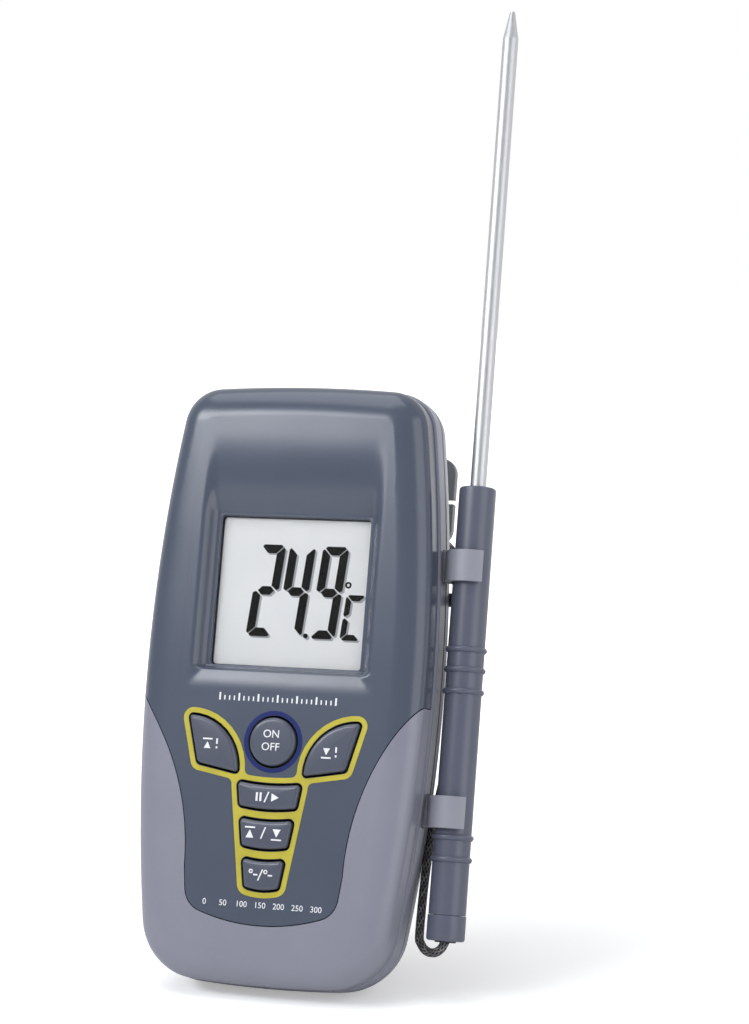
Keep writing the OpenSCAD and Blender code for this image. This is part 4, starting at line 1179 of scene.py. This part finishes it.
for name in ("upper_clip", "lower_clip"):
    dressed(name, clip_plastic, edge=0.22, cutter=jaw_mouth)
dressed("stand_leg", clip_plastic, "stand", edge=0.25)
dressed("stand_pin", steel, edge=0.12)
dressed("cord_winder", winder_plastic, edge=0.4)
dressed("battery_door", light_plastic, "door")

# Screws: pan heads with a cross recess and plain shanks, in zinc-plated steel, on the back, in
# the winder and on the circuit board.
screw_sizes = ("Head radius", "Head height", "Shank radius", "Shank length")
head_taper = 0.8
cross_reach, cross_half, cross_depth = 1.25, 0.27, 0.5


def screw_shape(tree, inputs):
    head_r, head_h, shank_r, shank_len = (inputs[size] for size in screw_sizes)
    shape = add_node(tree, "MeshCone", {
        "Vertices": 40, "Radius Top": math_node(tree, "MULTIPLY", head_r, head_taper),
        "Radius Bottom": head_r, "Depth": head_h}).outputs["Mesh"]
    wide = math_node(tree, "MULTIPLY", head_r, cross_reach)
    narrow = math_node(tree, "MULTIPLY", head_r, cross_half)
    deep = math_node(tree, "MULTIPLY", head_h, cross_depth)
    for sides in ((wide, narrow), (narrow, wide)):
        arm = box_shape(tree, *sides, head_h, deep)
        shape = add_node(tree, "MeshBoolean", {"Mesh 1": shape, "Mesh 2": arm},
                         operation="DIFFERENCE").outputs[0]
    shank = add_node(tree, "MeshCylinder", {"Vertices": 28, "Radius": shank_r, "Depth": shank_len})
    below = math_node(tree, "MULTIPLY", shank_len, -1)
    joined = add_node(tree, "JoinGeometry")
    for part in (shape, raised(tree, shank.outputs["Mesh"], shank_len, below)):
        tree.links.new(part, joined.inputs[0])
    return joined.outputs[0]


screws = repeating_tree("screws", screw_sizes, screw_shape)
zinc = clouded("zinc_plate", (0.50, 0.50, 0.50), (0.64, 0.63, 0.61), (0.8, 3), (0.15, 2), 0.006,
               Roughness=0.3, Metallic=1.0)
core_d, flange_t = 7.5, 1.8
board_z, board_t = 14.8, 1.6
board_spots = ((-9.5, 14.8), (9.5, 14.8), (-17.5, 101.5), (17.5, 101.5))
for name, spots, z, sizes in (
        ("case_screws", case_screw_spots, 4.0, (case_head_r, 1.8, 0.9, 8.8)),
        ("winder_screws", ((-10, winder_y), (10, winder_y)), -core_d - flange_t + 2,
         (1.8, 1.4, 0.75, 11.7)),
        ("board_screws", board_spots, board_z - board_t, (1.7, 1.1, 0.8, board_t + 2.6))):
    repeated(name + "_turned", at_height(spots, z), screws, dict(zip(screw_sizes, sizes)), zinc,
             "case", name, turn=upside_down)

# Inside: a fibreglass board with copper tracks under green varnish, its chip and buzzer, the
# display's frame and contact strip, and the keys' rubber mat.
board_green, tree, shader = new_material("board_varnish", Roughness=0.3)
tracks = add_node(tree, "TexBrick", {
    "Vector": along_case(tree, (MM, MM, MM)), "Scale": 1.0, "Mortar Size": 0.18, "Brick Width": 7.0,
    "Row Height": 1.6}).outputs["Fac"]
varnish = blend_colours(tree, spread(tree, noise(tree, 2.0, 2)), (0.012, 0.080, 0.030),
                        (0.018, 0.105, 0.042))
give_finish(shader, tracks, 0.02,
            Base_Color=blend_colours(tree, tracks, varnish, (0.040, 0.190, 0.080)))
chip_epoxy = plastic("chip_epoxy", (0.018, 0.018, 0.019), roughness=0.5, grain=0.12)
buzzer_shell = plastic("buzzer_shell", (0.020, 0.020, 0.022), roughness=0.35, grain=0.4)
holder_white = plastic("holder_white", (0.72, 0.72, 0.70), roughness=0.5)
strip, tree, shader = new_material("contact_strip", Roughness=0.55)
layers = add_node(tree, "TexWave", {"Vector": place_in(tree), "Scale": 900.0, "Distortion": 0.1})
give_finish(shader, Base_Color=blend_colours(
    tree, layers.outputs["Fac"], (0.015, 0.015, 0.016), (0.30, 0.30, 0.32)))
mat_silicone = plastic("mat_silicone", (0.050, 0.052, 0.060), roughness=0.6, grain=0.35)
for node, material, edge in (
        ("circuit_board", board_green, 0.05), ("controller_chip", chip_epoxy, 0.12),
        ("buzzer", buzzer_shell, 0.25), ("lcd_holder", holder_white, 0.1),
        ("zebra_strip", strip, 0.1), ("keypad_mat", mat_silicone, 0.15)):
    dressed(node, material, edge=edge)

# Battery: a cell in a foil sleeve. It lies across the case under its door, between two
# nickel-plated contacts, a coiled spring and a plate.
sleeve_foil = clouded("cell_sleeve", (0.42, 0.27, 0.09), (0.52, 0.35, 0.13), (5, 2), (0.6, 2), 0.01,
                      Roughness=0.28, Metallic=0.7)
nickel = clouded("nickel_plate", (0.58, 0.56, 0.52), (0.70, 0.68, 0.64), (1.5, 2), (0.3, 2), 0.005,
                 Roughness=0.25, Metallic=1.0)
dressed("battery", sleeve_foil, edge=0.3)
dressed("battery_spring", nickel, edge=0.08)
dressed("battery_plate", nickel, edge=0.08)
